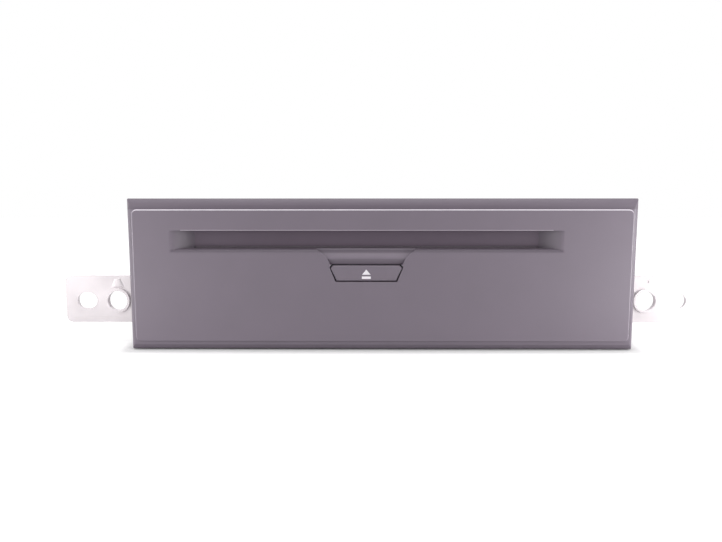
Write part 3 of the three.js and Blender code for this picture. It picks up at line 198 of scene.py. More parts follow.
hidden = node(tree, "ShaderNodeMapRange", {"Value": where["Y"], "From Min": FACE_Y + SILL_DEPTHS[0],
                                           "From Max": FACE_Y + SILL_DEPTHS[1]}).outputs[0]
in_corner = node(tree, "ShaderNodeMath", {0: where["Z"], 1: CORNER_FOOT},
                 operation="GREATER_THAN").outputs[0]

# Each row: a measure, the span of it over which the share of painted shade goes from one value to another,
# and the zones that the row is limited to. Where rows meet, the larger share counts.
shade_shares = []
for measure, (start, end), (first, last), zones in (
        (where["Y"], (FACE_Y + SLOT_DEPTHS[0], FACE_Y + SLOT_DEPTHS[1]), (0.0, 0.92),
         (in_width, in_height, open_ends)),
        (off_sill, (0.0, SILL_SPREAD), (0.5, 0.0), (in_width, hidden)),
        (where["Z"], CORNER_SPAN, (0.42, 0.0), (in_corner,)),
        (looks["Z"], LEANING_DOWN, (0.0, 0.3), ())):
    share = node(tree, "ShaderNodeMapRange", {"Value": measure, "From Min": start, "From Max": end,
                                              "To Min": first, "To Max": last},
                 interpolation_type="SMOOTHSTEP").outputs[0]
    for zone in zones:
        share = node(tree, "ShaderNodeMath", {0: share, 1: zone}, operation="MULTIPLY").outputs[0]
    shade_shares.append(share)
# Painted shade: the largest of the rows' shares at each point
painted_shade = shade_shares[0]
for share in shade_shares[1:]:
    painted_shade = node(tree, "ShaderNodeMath", {0: painted_shade, 1: share}, operation="MAXIMUM").outputs[0]

# Painted highlight: the relief's upper band, where it faces up, is mixed towards a paler grey
on_grip = node(tree, "ShaderNodeMath", {0: where["Z"], 1: GRIP_ZONE[0], 2: GRIP_ZONE[1]},
               operation="COMPARE").outputs[0]
upward = node(tree, "ShaderNodeMapRange", {"Value": looks["Z"], "From Min": LEANING_UP[0],
                                           "From Max": LEANING_UP[1]}).outputs[0]
painted_highlight = node(tree, "ShaderNodeMath", {0: on_grip, 1: upward}, operation="MULTIPLY").outputs[0]
with_grip_highlight = node(tree, "ShaderNodeMix", {"Factor": painted_highlight, "A": spray, "B": linear("#7c727e")},
               data_type="RGBA").outputs["Result"]
# The dark grey mixed in here is painted shade
sprayed = node(tree, "ShaderNodeMix", {"Factor": painted_shade, "A": with_grip_highlight, "B": linear("#3a2e3c")},
               data_type="RGBA").outputs["Result"]
tree.links.new(sprayed, shader.inputs["Base Color"])

# The flap behind the slot: a darker grey as painted shade, and a duller finish
flap_abs = speckled("grey_ABS_painted_slot_shade", patch=9, dark="#554856", light="#5b4e5c", rough=(0.5, 0.6),
                    grain=0.25, depth=0.006, IOR=1.52)

# The same ABS with a painted highlight along the raised panel's rim: glossier, much paler along the top and a
# little paler down the sides

TOP_HIGHLIGHT_SPAN = (49.6, 50.6)        # the height at which the sides' painted highlight turns into the brighter one along the top

rim_abs, tree, shader, place = finish("ABS_painted_highlight_rim_grey", IOR=1.52)
sides = speckle(tree, shader, place, patch=6, dark="#948a96", light="#9c929e", rough=(0.22, 0.3),
                grain=0.25, depth=0.003)
where = node(tree, "ShaderNodeSeparateXYZ", {"Vector": place}).outputs
# Painted highlight: much paler above this height, along the panel's top rim
top_highlight = node(tree, "ShaderNodeMapRange", {"Value": where["Z"], "From Min": TOP_HIGHLIGHT_SPAN[0],
                                         "From Max": TOP_HIGHLIGHT_SPAN[1]}).outputs[0]
paler = node(tree, "ShaderNodeMix", {"Factor": top_highlight, "A": sides, "B": linear("#eee6f0")},
             data_type="RGBA").outputs["Result"]
tree.links.new(paler, shader.inputs["Base Color"])

# The same ABS with a painted highlight along the slot's upper lip
lip_abs = speckled("ABS_painted_highlight_lip_grey", patch=5, dark="#aaa0ab", light="#b4aab5", rough=(0.26, 0.34),
                   grain=0.25, depth=0.003, IOR=1.52)

# The same ABS on the button, which fingers have polished a little
key_abs = speckled("ABS_eject_key_grey", patch=5, dark="#6f6671", light="#756b77", rough=(0.34, 0.44),
                   grain=0.25, depth=0.004, IOR=1.52)

# Pad-printed white ink: flat, a hair warm, with the faint pinholes of the print
ink = speckled("pad_printed_white_ink", patch=1.2, dark="#e9e4ea", light="#f6f2f6", rough=(0.5, 0.62),
               grain=0.12, depth=0.004, IOR=1.5)

# Zinc-plated steel sheet: pale and cloudy, with crystal patches that differ a little in shine

CRYSTAL_SIZE = 4.2
CLOUD_SIZE = 22
CRYSTAL_ROUGH = (0.36, 0.48)
ROLLING_GRAIN = 0.5
ROLLING_DEPTH = 0.004

zinc, tree, shader, place = finish("zinc_plated_steel_sheet", Metallic=1.0)
crystals = node(tree, "ShaderNodeTexVoronoi", {"Vector": place, "Scale": 1 / CRYSTAL_SIZE, "Randomness": 1.0})
crystal = node(tree, "ShaderNodeSeparateColor", {"Color": crystals.outputs["Color"]}).outputs
tint = node(tree, "ShaderNodeMix", {"Factor": crystal["Red"], "A": linear("#a6a4a8"),
                                    "B": linear("#b9b6ba")}, data_type="RGBA").outputs["Result"]
clouds = node(tree, "ShaderNodeTexNoise", {"Vector": place, "Scale": 1 / CLOUD_SIZE, "Detail": 5.0})
faded = node(tree, "ShaderNodeMix", {"Factor": clouds.outputs["Fac"], "A": tint, "B": linear("#aeabae")},
             data_type="RGBA").outputs["Result"]
tree.links.new(faded, shader.inputs["Base Color"])
shine = node(tree, "ShaderNodeMapRange", {"Value": crystal["Green"], "To Min": CRYSTAL_ROUGH[0],
                                          "To Max": CRYSTAL_ROUGH[1]})
tree.links.new(shine.outputs["Result"], shader.inputs["Roughness"])
rolled = node(tree, "ShaderNodeTexNoise", {"Vector": place, "Scale": 1 / ROLLING_GRAIN, "Detail": 3.0})
bump = node(tree, "ShaderNodeBump", {"Height": rolled.outputs["Fac"], "Strength": 0.35,
                                     "Distance": ROLLING_DEPTH * MM})
tree.links.new(bump.outputs["Normal"], shader.inputs["Normal"])

# Zinc-plated brackets: the same plating with faint handling marks, and painted light that makes the ears'
# edges and hole walls, which face sideways, nearly white

EAR_ROOT = 91.2                 # the ears begin this far from the drive's middle
EDGE_LIGHT_SPAN = (0.95, 0.7)          # forward share of a face's normal: where the painted light on edges and walls begins, and is full

ear_zinc, tree, shader, place = finish("zinc_plated_steel_ears", Metallic=1.0)
handled = speckle(tree, shader, place, patch=6, dark="#b2acaf", light="#bcb7b9", rough=(0.54, 0.64),
                  grain=0.6, depth=0.01)
facing = node(tree, "ShaderNodeNewGeometry").outputs["Normal"]
looks = node(tree, "ShaderNodeSeparateXYZ", {"Vector": facing}).outputs
square_on = node(tree, "ShaderNodeMath", {0: looks["Y"]}, operation="ABSOLUTE").outputs[0]
edgewise = node(tree, "ShaderNodeMapRange", {"Value": square_on, "From Min": EDGE_LIGHT_SPAN[0],
                                             "From Max": EDGE_LIGHT_SPAN[1]}).outputs[0]
where = node(tree, "ShaderNodeSeparateXYZ", {"Vector": place}).outputs
off_middle = node(tree, "ShaderNodeMath", {0: where["X"]}, operation="ABSOLUTE").outputs[0]
in_ear = node(tree, "ShaderNodeMath", {0: off_middle, 1: EAR_ROOT}, operation="GREATER_THAN").outputs[0]
# Painted light on the ears' edges and hole walls, which face sideways
painted_edge_light = node(tree, "ShaderNodeMath", {0: edgewise, 1: in_ear}, operation="MULTIPLY").outputs[0]
plated = node(tree, "ShaderNodeMix", {"Factor": painted_edge_light, "A": handled, "B": linear("#f0ecee")},
              data_type="RGBA").outputs["Result"]
tree.links.new(plated, shader.inputs["Base Color"])

# Steel with a dark passivated zinc coat: satin grey
dark_steel = speckled("dark_passivated_steel", patch=7, dark="#6d6e73", light="#7d7e83", rough=(0.34, 0.48),
                      grain=0.4, depth=0.005, Metallic=1.0)

# Tinned steel can over the processor: bright, soft rolling marks
tinned = speckled("tinned_steel_can", patch=9, dark="#b9b9ba", light="#cbcbca", rough=(0.22, 0.36),
                  grain=0.8, depth=0.004, Metallic=1.0)

# Ground and nickel-plated steel of shafts, rods and motor cans: mirror-like with fine turning marks
bright_steel = speckled("nickel_plated_steel", patch=5, dark="#c9c8c7", light="#dbdad8", rough=(0.16, 0.28),
                        grain=0.15, depth=0.002, Metallic=1.0)

# Screws: zinc with a clear chromate, a little blue
screw_steel = speckled("chromated_screw_steel", patch=2.5, dark="#c3c7cd", light="#d6d8da",
                       rough=(0.2, 0.34), grain=0.2, depth=0.003, Metallic=1.0)

# Black polyamide with glass fibre: dull, with the slight mottle that the fibres leave
black_nylon = speckled("black_glass_filled_nylon", patch=3, dark="#1d1c1e", light="#262527",
                       rough=(0.42, 0.58), grain=0.3, depth=0.006, IOR=1.53)

# Natural acetal: waxy off-white, light sinks in a little
acetal = speckled("natural_acetal", patch=4, dark="#dedacf", light="#e8e5db", rough=(0.34, 0.44), grain=0.3,
                  depth=0.002, IOR=1.48, Subsurface_Weight=0.15, Subsurface_Scale=0.001)

# Grey acetal of the cam slider: as waxy, but tinted through
grey_acetal = speckled("grey_acetal", patch=4, dark="#87898b", light="#929496", rough=(0.36, 0.46),
                       grain=0.3, depth=0.002, IOR=1.48)

# EPDM rubber of rollers, belt and dampers: nearly black, matt, dusted
rubber = speckled("EPDM_rubber", patch=2, dark="#161616", light="#222121", rough=(0.68, 0.85), grain=0.4,
                  depth=0.02, IOR=1.52)

# Needled wool felt: grey fibres about 0.2 mm apart that stand up and scatter the light
felt = speckled("needled_grey_felt", patch=0.8, dark="#6b5f6a", light="#766a75", rough=(0.9, 1.0),
                grain=0.2, depth=0.12, IOR=1.5, Sheen_Weight=0.5, Sheen_Roughness=0.5)

# Solder mask over glass-epoxy: deep green gloss, with copper tracks showing as lighter green, here far
# coarser than real ones so that they show

TRACK_SPACING = 5.5
TRACK_EDGE = (0.05, 0.08)       # shares of the spacing between which a track ends
TRACK_HEIGHT = 0.03

mask, tree, shader, place = finish("green_solder_mask", IOR=1.5, Roughness=0.28)
tracks = node(tree, "ShaderNodeTexVoronoi", {"Vector": place, "Scale": 1 / TRACK_SPACING, "Randomness": 0.75},
              distance="MANHATTAN", feature="DISTANCE_TO_EDGE")
lines = node(tree, "ShaderNodeMapRange", {"Value": tracks.outputs["Distance"], "From Min": TRACK_EDGE[0],
                                          "From Max": TRACK_EDGE[1], "To Min": 1.0, "To Max": 0.0}).outputs[0]
copper = node(tree, "ShaderNodeMix", {"Factor": lines, "A": linear("#0f3f27"), "B": linear("#2c7148")},
              data_type="RGBA").outputs["Result"]
tree.links.new(copper, shader.inputs["Base Color"])
raised = node(tree, "ShaderNodeBump", {"Height": lines, "Strength": 0.5, "Distance": TRACK_HEIGHT * MM})
tree.links.new(raised.outputs["Normal"], shader.inputs["Normal"])

# Die-cast aluminium of the sled: grainy skin
cast = speckled("die_cast_aluminium", patch=3, dark="#a5a7aa", light="#b9bbbd", rough=(0.4, 0.55),
                grain=0.35, depth=0.02, Metallic=1.0)

# Coated objective lens: clear, with a drifting blue-violet bloom

BLOOM_SIZE = 3

glass, tree, shader, place = finish("coated_lens_glass", IOR=1.52, Transmission_Weight=0.85, Roughness=0.04)
bloom = node(tree, "ShaderNodeTexNoise", {"Vector": place, "Scale": 1 / BLOOM_SIZE, "Detail": 1.0})
tint = node(tree, "ShaderNodeMix", {"Factor": bloom.outputs["Fac"], "A": linear("#9fb2e6"),
                                    "B": linear("#c3b4ea")}, data_type="RGBA").outputs["Result"]
tree.links.new(tint, shader.inputs["Base Color"])

# Flat ribbon cable: white polyester film over conductors 1 mm apart, which show as ribs and faint stripes

WIRE_SCALE = 0.314              # gives the wave texture one band for each millimetre
WIRE_HEIGHT = 0.06

ribbon, tree, shader, place = finish("polyester_ribbon_cable", IOR=1.6, Roughness=0.35)
wires = node(tree, "ShaderNodeTexWave", {"Vector": place, "Scale": WIRE_SCALE, "Distortion": 0.0},
             wave_type="BANDS", bands_direction="X").outputs["Fac"]
stripe = node(tree, "ShaderNodeMix", {"Factor": wires, "A": linear("#efede6"), "B": linear("#c9c6bf")},
              data_type="RGBA").outputs["Result"]
tree.links.new(stripe, shader.inputs["Base Color"])
ridge = node(tree, "ShaderNodeBump", {"Height": wires, "Strength": 0.5, "Distance": WIRE_HEIGHT * MM})
tree.links.new(ridge.outputs["Normal"], shader.inputs["Normal"])

# Shrunk PVC sleeve of the capacitor: dark blue-grey with a tight gloss
sleeve = speckled("shrunk_PVC_sleeve", patch=2, dark="#20242d", light="#2a2f3a", rough=(0.25, 0.35),
                  grain=0.8, depth=0.01, IOR=1.53, Coat_Weight=0.3)

# Blue nylon of the antenna socket: plain and half matt
blue_nylon = speckled("blue_nylon", patch=4, dark="#27498a", light="#2f5598", rough=(0.38, 0.5), grain=0.3,
                      depth=0.004, IOR=1.53)

# White nylon of the main socket: creamy, light sinks in a little
white_nylon = speckled("white_nylon", patch=4, dark="#d9d6cc", light="#e4e1d8", rough=(0.4, 0.52),
                       grain=0.3, depth=0.004, IOR=1.53, Subsurface_Weight=0.08, Subsurface_Scale=0.001)

# Tin-plated brass of the contact pins: warm and bright
tin = speckled("tin_plated_brass", patch=2, dark="#c4c0b4", light="#d6d2c8", rough=(0.25, 0.38), grain=0.2,
               depth=0.003, Metallic=1.0)


# Finishes on the drive's own nodes: by material slot, and by name where a node differs from its slot

SLOT_FINISH = {
    "fascia_plastic": front_abs, "zinc_steel": zinc, "dark_steel": dark_steel, "bright_steel": bright_steel,
    "black_plastic": black_nylon, "white_acetal": acetal, "grey_acetal": grey_acetal, "black_rubber": rubber,
    "black_felt": felt, "circuit_board": mask, "aluminium": cast, "clear_glass": glass, "cable_white": ribbon,
    "capacitor_sleeve": sleeve, "signal_blue": blue_nylon,
}
NODE_FINISH = {"processor_shield": tinned, "main_connector": white_nylon, "left_bracket": ear_zinc,
               "right_bracket": ear_zinc, "dust_flap": flap_abs}
screws = sorted(name for name in frame["nodes"] if "_screw_" in name)
node_slot = {part["node"]: part["material_slot"] for part in frame["record"]["subparts"]}
node_body = {name: body for body, names in frame["record"]["behaviour"]["bodies"].items() for name in names}

for name, carried in frame["nodes"].items():
    shown = screw_steel if name in screws else NODE_FINISH.get(name, SLOT_FINISH[node_slot[name]])
    carried.data.materials.clear()
    carried.data.materials.append(shown)


# Pieces

MERGE_GAP = 0.002               # corners of CAD triangles closer than this are one corner
FLAT_ANGLE = 0.8                # degrees, within which CAD triangles make one flat face
CURVE_ANGLE = 40                # degrees, up to which an edge belongs to a curved face
SHARP_ANGLE = 28                # degrees, from which an edge is rounded


def piece(name, bm, body, material, curve=CURVE_ANGLE, replaces=()):
    """Makes a finished bmesh a piece that rides on a body, with its curved faces shaded smooth."""
    for face in bm.faces:
        face.smooth = True
    for edge in bm.edges:
        edge.smooth = edge.calc_face_angle(0) < math.radians(curve)
    mesh = bpy.data.meshes.new(name)
    bm.to_mesh(mesh)
    bm.free()
    mesh.materials.append(material)
    made = bpy.data.objects.new(name, mesh)
    bpy.context.scene.collection.objects.link(made)
    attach(made, body)
    if replaces:
        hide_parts(*replaces)
    return made


def merged_copy(name):
    """The faces of a CAD node, merged and with its flat faces whole again."""
    bm = bmesh.new()
    bm.from_mesh(frame["nodes"][name].data)
    bmesh.ops.remove_doubles(bm, verts=bm.verts, dist=MERGE_GAP * MM)
    bmesh.ops.dissolve_limit(bm, angle_limit=math.radians(FLAT_ANGLE), verts=bm.verts, edges=bm.edges)
    return bm


def soften(made, width, segments=2, by_weight=False):
    """Rounds a piece's sharp edges, in millimetres, and keeps its flat faces looking flat."""
    edge = made.modifiers.new("soft_edges", "BEVEL")
    edge.width = width * MM
    edge.segments = segments
    edge.limit_method = "WEIGHT" if by_weight else "ANGLE"
    edge.angle_limit = math.radians(SHARP_ANGLE)
    even = made.modifiers.new("even_shading", "WEIGHTED_NORMAL")
    even.keep_sharp = True


def softened(name, width, segments=2, new_name=None, material=None):
    """A CAD node with rounded edges and smooth curves, standing in its own place."""
    made = piece(new_name or name + "_finished", merged_copy(name), node_body[name],
                 material or frame["nodes"][name].data.materials[0], replaces=(name,))
    soften(made, width, segments)


def grown_corners(extruded):
    """The corners that an extrusion has made."""
    return [v for v in extruded["geom"] if isinstance(v, bmesh.types.BMVert)]


def longest(edges):
    """The longest of some edges."""
    return max(edges, key=lambda edge: edge.calc_length())


# Front moulding: the raised panel's rim is rounded most and given a pale painted highlight, the middle of the
# slot's upper lip gets a painted highlight too, and the other edges are only broken

PANEL_HALF = 89                 # half the width of the raised panel, and its heights
PANEL_LOW = 3.3
PANEL_HIGH = 50.9
RIM_BAND = 2.2                  # the rim's edges lie within this of the panel's outline
RIM_ROUND = 0.34
UNLIT_RIM_BAND = 0.6             # the rim's bottom edge, which gets no painted highlight
RIM_PALE, LIP_PALE = 1, 2       # places in the moulding's list of materials
LIP_HEIGHT = 43.4
LIP_HALF = 66                   # half the length of the lip's painted highlight
LIP_ROUND = 0.24
NEAR = 0.01                     # how close a corner lies to a height or to a face to count as on it
RIM_CORNER = 60                 # degrees, the least angle of the rim's edges
ON_FACE = 0.05
BROKEN_EDGE = 0.3
BROKEN_CORNER = 35              # degrees, from which an edge is broken
FRONT_DEPTH = 12                # edges further back than this are left sharp
KEY_HALF = 14                   # the key's hole: half width, top and depth
KEY_TOP = 31.5
KEY_DEPTH = 1
END_X = (61, 71)                # the slot's curved ends: distance from its centre, heights and depth
END_Z = (34, 45)
END_DEPTH = 5.5
BORDER_DEPTH = 1.2              # beside the panel, the border's edges lie deeper than this

bm = merged_copy("fascia")
rim = []
for edge in bm.edges:
    ends = [(v.co.x / MM, v.co.y / MM - FACE_Y, v.co.z / MM) for v in edge.verts]
    on_rim = all(y < ON_FACE and (abs(x) > PANEL_HALF - RIM_BAND or z < PANEL_LOW + RIM_BAND
                                  or z > PANEL_HIGH - RIM_BAND) for x, y, z in ends)
    if on_rim and edge.calc_face_angle(0) > math.radians(RIM_CORNER):
        rim.append(edge)
# The rim's rounding carries the pale painted highlight, except along its bottom
bmesh.ops.bevel(bm, geom=rim, offset=RIM_ROUND * MM, segments=4, profile=0.5, affect="EDGES",
                material=RIM_PALE)
for face in bm.faces:
    if face.material_index and face.calc_center_median().z < (PANEL_LOW + UNLIT_RIM_BAND) * MM:
        face.material_index = 0

whole_lip = longest(edge for edge in bm.edges
                    if all(abs(v.co.z / MM - LIP_HEIGHT) < NEAR and v.co.y / MM - FACE_Y < NEAR
                           for v in edge.verts))
left_end = min(whole_lip.verts, key=lambda vert: vert.co.x)
length = whole_lip.calc_length() / MM
inner = bmesh.utils.edge_split(whole_lip, left_end, (length / 2 - LIP_HALF) / length)[1]
rest = longest(inner.link_edges)
bmesh.utils.edge_split(rest, inner, 2 * LIP_HALF / rest.calc_length() * MM)
# The lip's rounding carries its painted highlight
bmesh.ops.bevel(bm, geom=[longest(inner.link_edges)], offset=LIP_ROUND * MM, segments=3, profile=0.5,
                affect="EDGES", material=LIP_PALE)

# How much of the broken edge's width each edge gets. The slot's ends run out flat, and the key's hole stays
# crisp.
weight = bm.edges.layers.float.new("bevel_weight_edge")
for edge in bm.edges:
    x, y, z = ((edge.verts[0].co + edge.verts[1].co) / 2 / MM)[:]
    depth = y - FACE_Y
    off_slot = abs(x - SLOT_CENTRE_X)
    if len(edge.link_faces) != 2 or depth > FRONT_DEPTH or not edge.is_convex:
        continue
    if edge.calc_face_angle(0) <= math.radians(BROKEN_CORNER):
        continue
    if off_slot < KEY_HALF and z < KEY_TOP and depth < KEY_DEPTH:
        edge[weight] = 0.25
    elif END_X[0] < off_slot < END_X[1] and END_Z[0] < z < END_Z[1] and depth < END_DEPTH:
        edge[weight] = 0
    elif depth > BORDER_DEPTH and abs(x) > PANEL_HALF:
        edge[weight] = 1.0
    else:
        edge[weight] = 0.7
front = piece("front_moulding", bm, node_body["fascia"], front_abs,
              replaces=("fascia",))
front.data.materials.append(rim_abs)
front.data.materials.append(lip_abs)
soften(front, BROKEN_EDGE, by_weight=True)

# Eject key with its rounded face, and the triangle and bar printed on it

KEY_ROUND = 0.16
PRINT_Y = 0.07
PRINT_THICKNESS = 0.06
TRIANGLE = ((-1.55, 27.68), (1.55, 27.68), (0, 29.54))
BAR = ((-1.6, 26.18), (1.6, 26.18), (1.6, 27.07), (-1.6, 27.07))

softened("eject_button", KEY_ROUND, 3, new_name="eject_key", material=key_abs)

bm = bmesh.new()
for outline in (TRIANGLE, BAR):
    face = bm.faces.new([bm.verts.new(at(SLOT_CENTRE_X + x, PRINT_Y, z)) for x, z in outline])
    film = bmesh.ops.extrude_face_region(bm, geom=[face])
    bmesh.ops.translate(bm, vec=(0, PRINT_THICKNESS * MM, 0), verts=grown_corners(film))
bmesh.ops.recalc_face_normals(bm, faces=bm.faces)
piece("eject_symbol", bm, "eject_button", ink)

# Brackets, case and lid with the small radii of pressed sheet, and moulded pieces with theirs

BRACKET_ROUND = 0.4
SHEET_ROUND = 0.22
MOULDED_ROUND = 0.2

for name in ("left_bracket", "right_bracket"):
    softened(name, BRACKET_ROUND, 3)
for name in ("chassis_tray", "top_cover", "mech_frame", "disc_guide_plate"):
    softened(name, SHEET_ROUND)
for name in ("main_connector", "video_connector", "antenna_connector", "processor_shield"):
    softened(name, MOULDED_ROUND)

# The flap with a raised face that fills the slot's throat, 1 mm proud of the flap itself

FLAP_RAISED = (5, 6.1)          # depths of its front and of its root in the flap
FLAP_HEIGHTS = (37.65, 43.3)
THROAT_HALF = 62.5
FLAP_HALF = THROAT_HALF + 0.02  # just over the throat's ends, so that no gap shows
FLAP_ROUND = 0.05

bm = merged_copy("dust_flap")
low = at(SLOT_CENTRE_X - FLAP_HALF, FLAP_RAISED[0], FLAP_HEIGHTS[0])
high = at(SLOT_CENTRE_X + FLAP_HALF, FLAP_RAISED[1], FLAP_HEIGHTS[1])
bmesh.ops.create_cube(bm, size=1, matrix=Matrix.LocRotScale((low + high) / 2, None, high - low))
bmesh.ops.recalc_face_normals(bm, faces=bm.faces)
flap = piece("dust_flap_finished", bm, "dust_flap", flap_abs, replaces=("dust_flap",))
soften(flap, FLAP_ROUND)

# What is pressed into the ears above their flared holes: a low gusset in the left one, a small pip in the
# right one

EAR_SEAT = 12.1                 # just inside the ears' front faces, which lie 12 mm behind the drive's face
EAR_HOLE_X = 100.1
PRESSED_HEIGHT = 0.35
PRESSED_ROUND = 0.15
CREST_SHARES = (0.55, 1, 0.7)   # the crest's size, as shares of the foot's
GUSSET = ((-1.2, 25.2), (1.2, 25.2), (2.9, 21.1), (-2.9, 21.1))
PIP = ((0.7, 24.5), (1.9, 24.5), (1.9, 23.3), (0.7, 23.3))

for side, word, shape, outline in ((-1, "left", "gusset", GUSSET), (1, "right", "pip", PIP)):
    bm = bmesh.new()
    foot = [bm.verts.new(at(side * EAR_HOLE_X + x, EAR_SEAT, z)) for x, z in outline]
    middle = sum((corner.co for corner in foot), Vector()) / len(foot)
    crest = grown_corners(bmesh.ops.extrude_face_region(bm, geom=[bm.faces.new(foot)]))
    bmesh.ops.translate(bm, vec=(0, -PRESSED_HEIGHT * MM, 0), verts=crest)
    bmesh.ops.scale(bm, vec=CREST_SHARES, space=Matrix.Translation(-middle), verts=crest)
    bmesh.ops.recalc_face_normals(bm, faces=bm.faces)
    pressed = piece(f"ear_{shape}_{word}", bm, node_body[f"{word}_bracket"], ear_zinc)
    soften(pressed, PRESSED_ROUND)

# Screws: pan heads over a cross recess, each turned a little differently. The extrusions are given faces
# without their edges, which keeps the old faces: a disc stays inside at each step, and the head's top stays
# whole, so that it covers the recess.

SCREW_CORE = 1.1                # radii of the shank's end and of the shank
SCREW_SHANK = 1.5
SCREW_CHAMFER = 0.4
SCREW_SIDES = 32
SCREW_CURVE = 38                # degrees, up to which the head's edges belong to its curve
# Rings of the head from its seat up: shares of its radius and of its height
HEAD_PROFILE = ((1, 0), (1, 0.4), (0.97, 0.62), (0.88, 0.84), (0.74, 0.97), (0.62, 1))
CROSS_WIDTH = 0.15              # half width and half length of the recess, as shares of the head's radius
CROSS_REACH = 0.5
CROSS_DEPTH = 0.62              # as a share of the head's height
CROSS_TAPER = 0.72              # the recess's floor, as a share of its mouth
SMALL_HEAD = (3.0, 1.6, 3.0)    # the head's radius and height, and the shank's length
WIDE_HEAD = (3.6, 1.8, 3.6)
TURN_STEP = 0.65                # radians from one screw to the next


def cross_screw(name, head, rise, length, spin):
    """Builds a screw standing on its seat at the origin, then sets it where the drive's own screw is."""
    bm = bmesh.new()
    bmesh.ops.create_circle(bm, cap_ends=True, radius=SCREW_CORE * MM, segments=SCREW_SIDES)
    bmesh.ops.translate(bm, vec=(0, 0, -length * MM), verts=bm.verts)
    top, radius, height = bm.faces[:], SCREW_CORE, -length
    steps = [(SCREW_SHANK, SCREW_CHAMFER - length), (SCREW_SHANK, 0)]
    steps += [(share * head, level * rise) for share, level in HEAD_PROFILE]
    for next_radius, next_height in steps:
        grown = bmesh.ops.extrude_face_region(bm, geom=top)
        corners = grown_corners(grown)
        top = [f for f in grown["geom"] if isinstance(f, bmesh.types.BMFace)]
        ratio = next_radius / radius
        bmesh.ops.scale(bm, vec=(ratio, ratio, 1), verts=corners)
        bmesh.ops.translate(bm, vec=(0, 0, (next_height - height) * MM), verts=corners)
        radius, height = next_radius, next_height
    wing, reach = CROSS_WIDTH * head * MM, CROSS_REACH * head * MM

    def crown():
        return [f for f in bm.faces if all(abs(v.co.z / MM - rise) < NEAR for v in f.verts)]

    for normal in ((1, 0, 0), (0, 1, 0)):
        for offset in (-reach, -wing, wing, reach):
            flat = crown()
            parts = set(flat) | {e for f in flat for e in f.edges} | {v for f in flat for v in f.verts}
            bmesh.ops.bisect_plane(bm, geom=list(parts), plane_co=Vector(normal) * offset, plane_no=normal)
    cross = []
    for face in crown():
        x, y = abs(face.calc_center_median().x), abs(face.calc_center_median().y)
        if min(x, y) < wing and max(x, y) < reach:
            cross.append(face)
    corners = grown_corners(bmesh.ops.extrude_face_region(bm, geom=cross))
    bmesh.ops.translate(bm, vec=(0, 0, -CROSS_DEPTH * rise * MM), verts=corners)
    bmesh.ops.scale(bm, vec=(CROSS_TAPER, CROSS_TAPER, 1), verts=corners)
    bmesh.ops.recalc_face_normals(bm, faces=bm.faces)
    low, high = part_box(name)
    middle = (Vector(low) + Vector(high)) / 2
    if "board" in name:
        turn = Matrix.Identity(4)
        middle.z = high[2] - rise * MM
    else:
        side = -1 if "left" in name else 1
        turn = Matrix.Rotation(side * math.pi / 2, 4, "Y")
        middle.x = (high[0] if side > 0 else low[0]) - side * rise * MM
    bmesh.ops.transform(bm, matrix=Matrix.Translation(middle) @ turn @ Matrix.Rotation(spin, 4, "Z"),
                        verts=bm.verts)
    piece(name + "_cross", bm, node_body[name], screw_steel, SCREW_CURVE, (name,))


for count, name in enumerate(screws):
    cross_screw(name, *(WIDE_HEAD if "bracket" in name else SMALL_HEAD), TURN_STEP * count)

# Tin-plated contact pins in the three sockets at the rear, each with a tapered tip. As in the screws, the
# face that a tip grows from stays inside.

PIN_ROOT = 162                  # depths of the pins' roots and of their tips' start
PIN_END = 168.1
PIN_SIDE = 1.06
PIN_TIP = 0.5
PIN_TAPER = 0.5                 # the tip's side, as a share of the pin's
SOCKET_PINS = (("main_connector", 2, 8), ("video_connector", 2, 4), ("antenna_connector", 1, 1))

for name, rows, columns in SOCKET_PINS:
    low, high = (Vector(corner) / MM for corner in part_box(name))
    bm = bmesh.new()
    for row in range(rows):
        for column in range(columns):
            x = low.x + (high.x - low.x) * (column + 0.5) / columns
            z = low.z + (high.z - low.z) * (row + 0.5) / rows
            standing = Matrix.LocRotScale(at(x, (PIN_ROOT + PIN_END) / 2, z), None,
                                          Vector((PIN_SIDE, PIN_END - PIN_ROOT, PIN_SIDE)) * MM)
            pin = bmesh.ops.create_cube(bm, size=1, matrix=standing)["verts"]
            near_end = at(0, PIN_END - NEAR, 0).y
            end = [f for f in bm.faces if all(v in pin and v.co.y > near_end for v in f.verts)]
            corners = grown_corners(bmesh.ops.extrude_face_region(bm, geom=end))
            bmesh.ops.translate(bm, vec=(0, PIN_TIP * MM, 0), verts=corners)
            bmesh.ops.scale(bm, vec=(PIN_TAPER, 1, PIN_TAPER), verts=corners,
                            space=Matrix.Translation(-at(x, PIN_END, z)))
    bmesh.ops.recalc_face_normals(bm, faces=bm.faces)
    piece(name.replace("connector", "pins"), bm, node_body[name], tin)


# Stage: a plain pale floor and a white room

FLOOR_REACH = 6                 # metres, half the floor's side
FOOTPRINT = (91, -FACE_Y, 0)    # half the drive's width and depth
SHADOW_SPAN = (0.5, 8)          # beside the footprint, where the paper begins to glow and where it glows well
FAR_AWAY = 400
NEAR_GLOW = 0.4
FAR_GLOW = 0.32
ROOM_LIGHT = 0.34


def seen_as_background(tree):
    """1 for rays that see the white background: straight, in a reflection or through glass."""
    path = node(tree, "ShaderNodeLightPath").outputs
    seen = node(tree, "ShaderNodeMath", {0: path["Is Camera Ray"], 1: path["Is Glossy Ray"]},
                operation="MAXIMUM").outputs[0]
    return node(tree, "ShaderNodeMath", {0: seen, 1: path["Is Transmission Ray"]},
                operation="MAXIMUM").outputs[0]
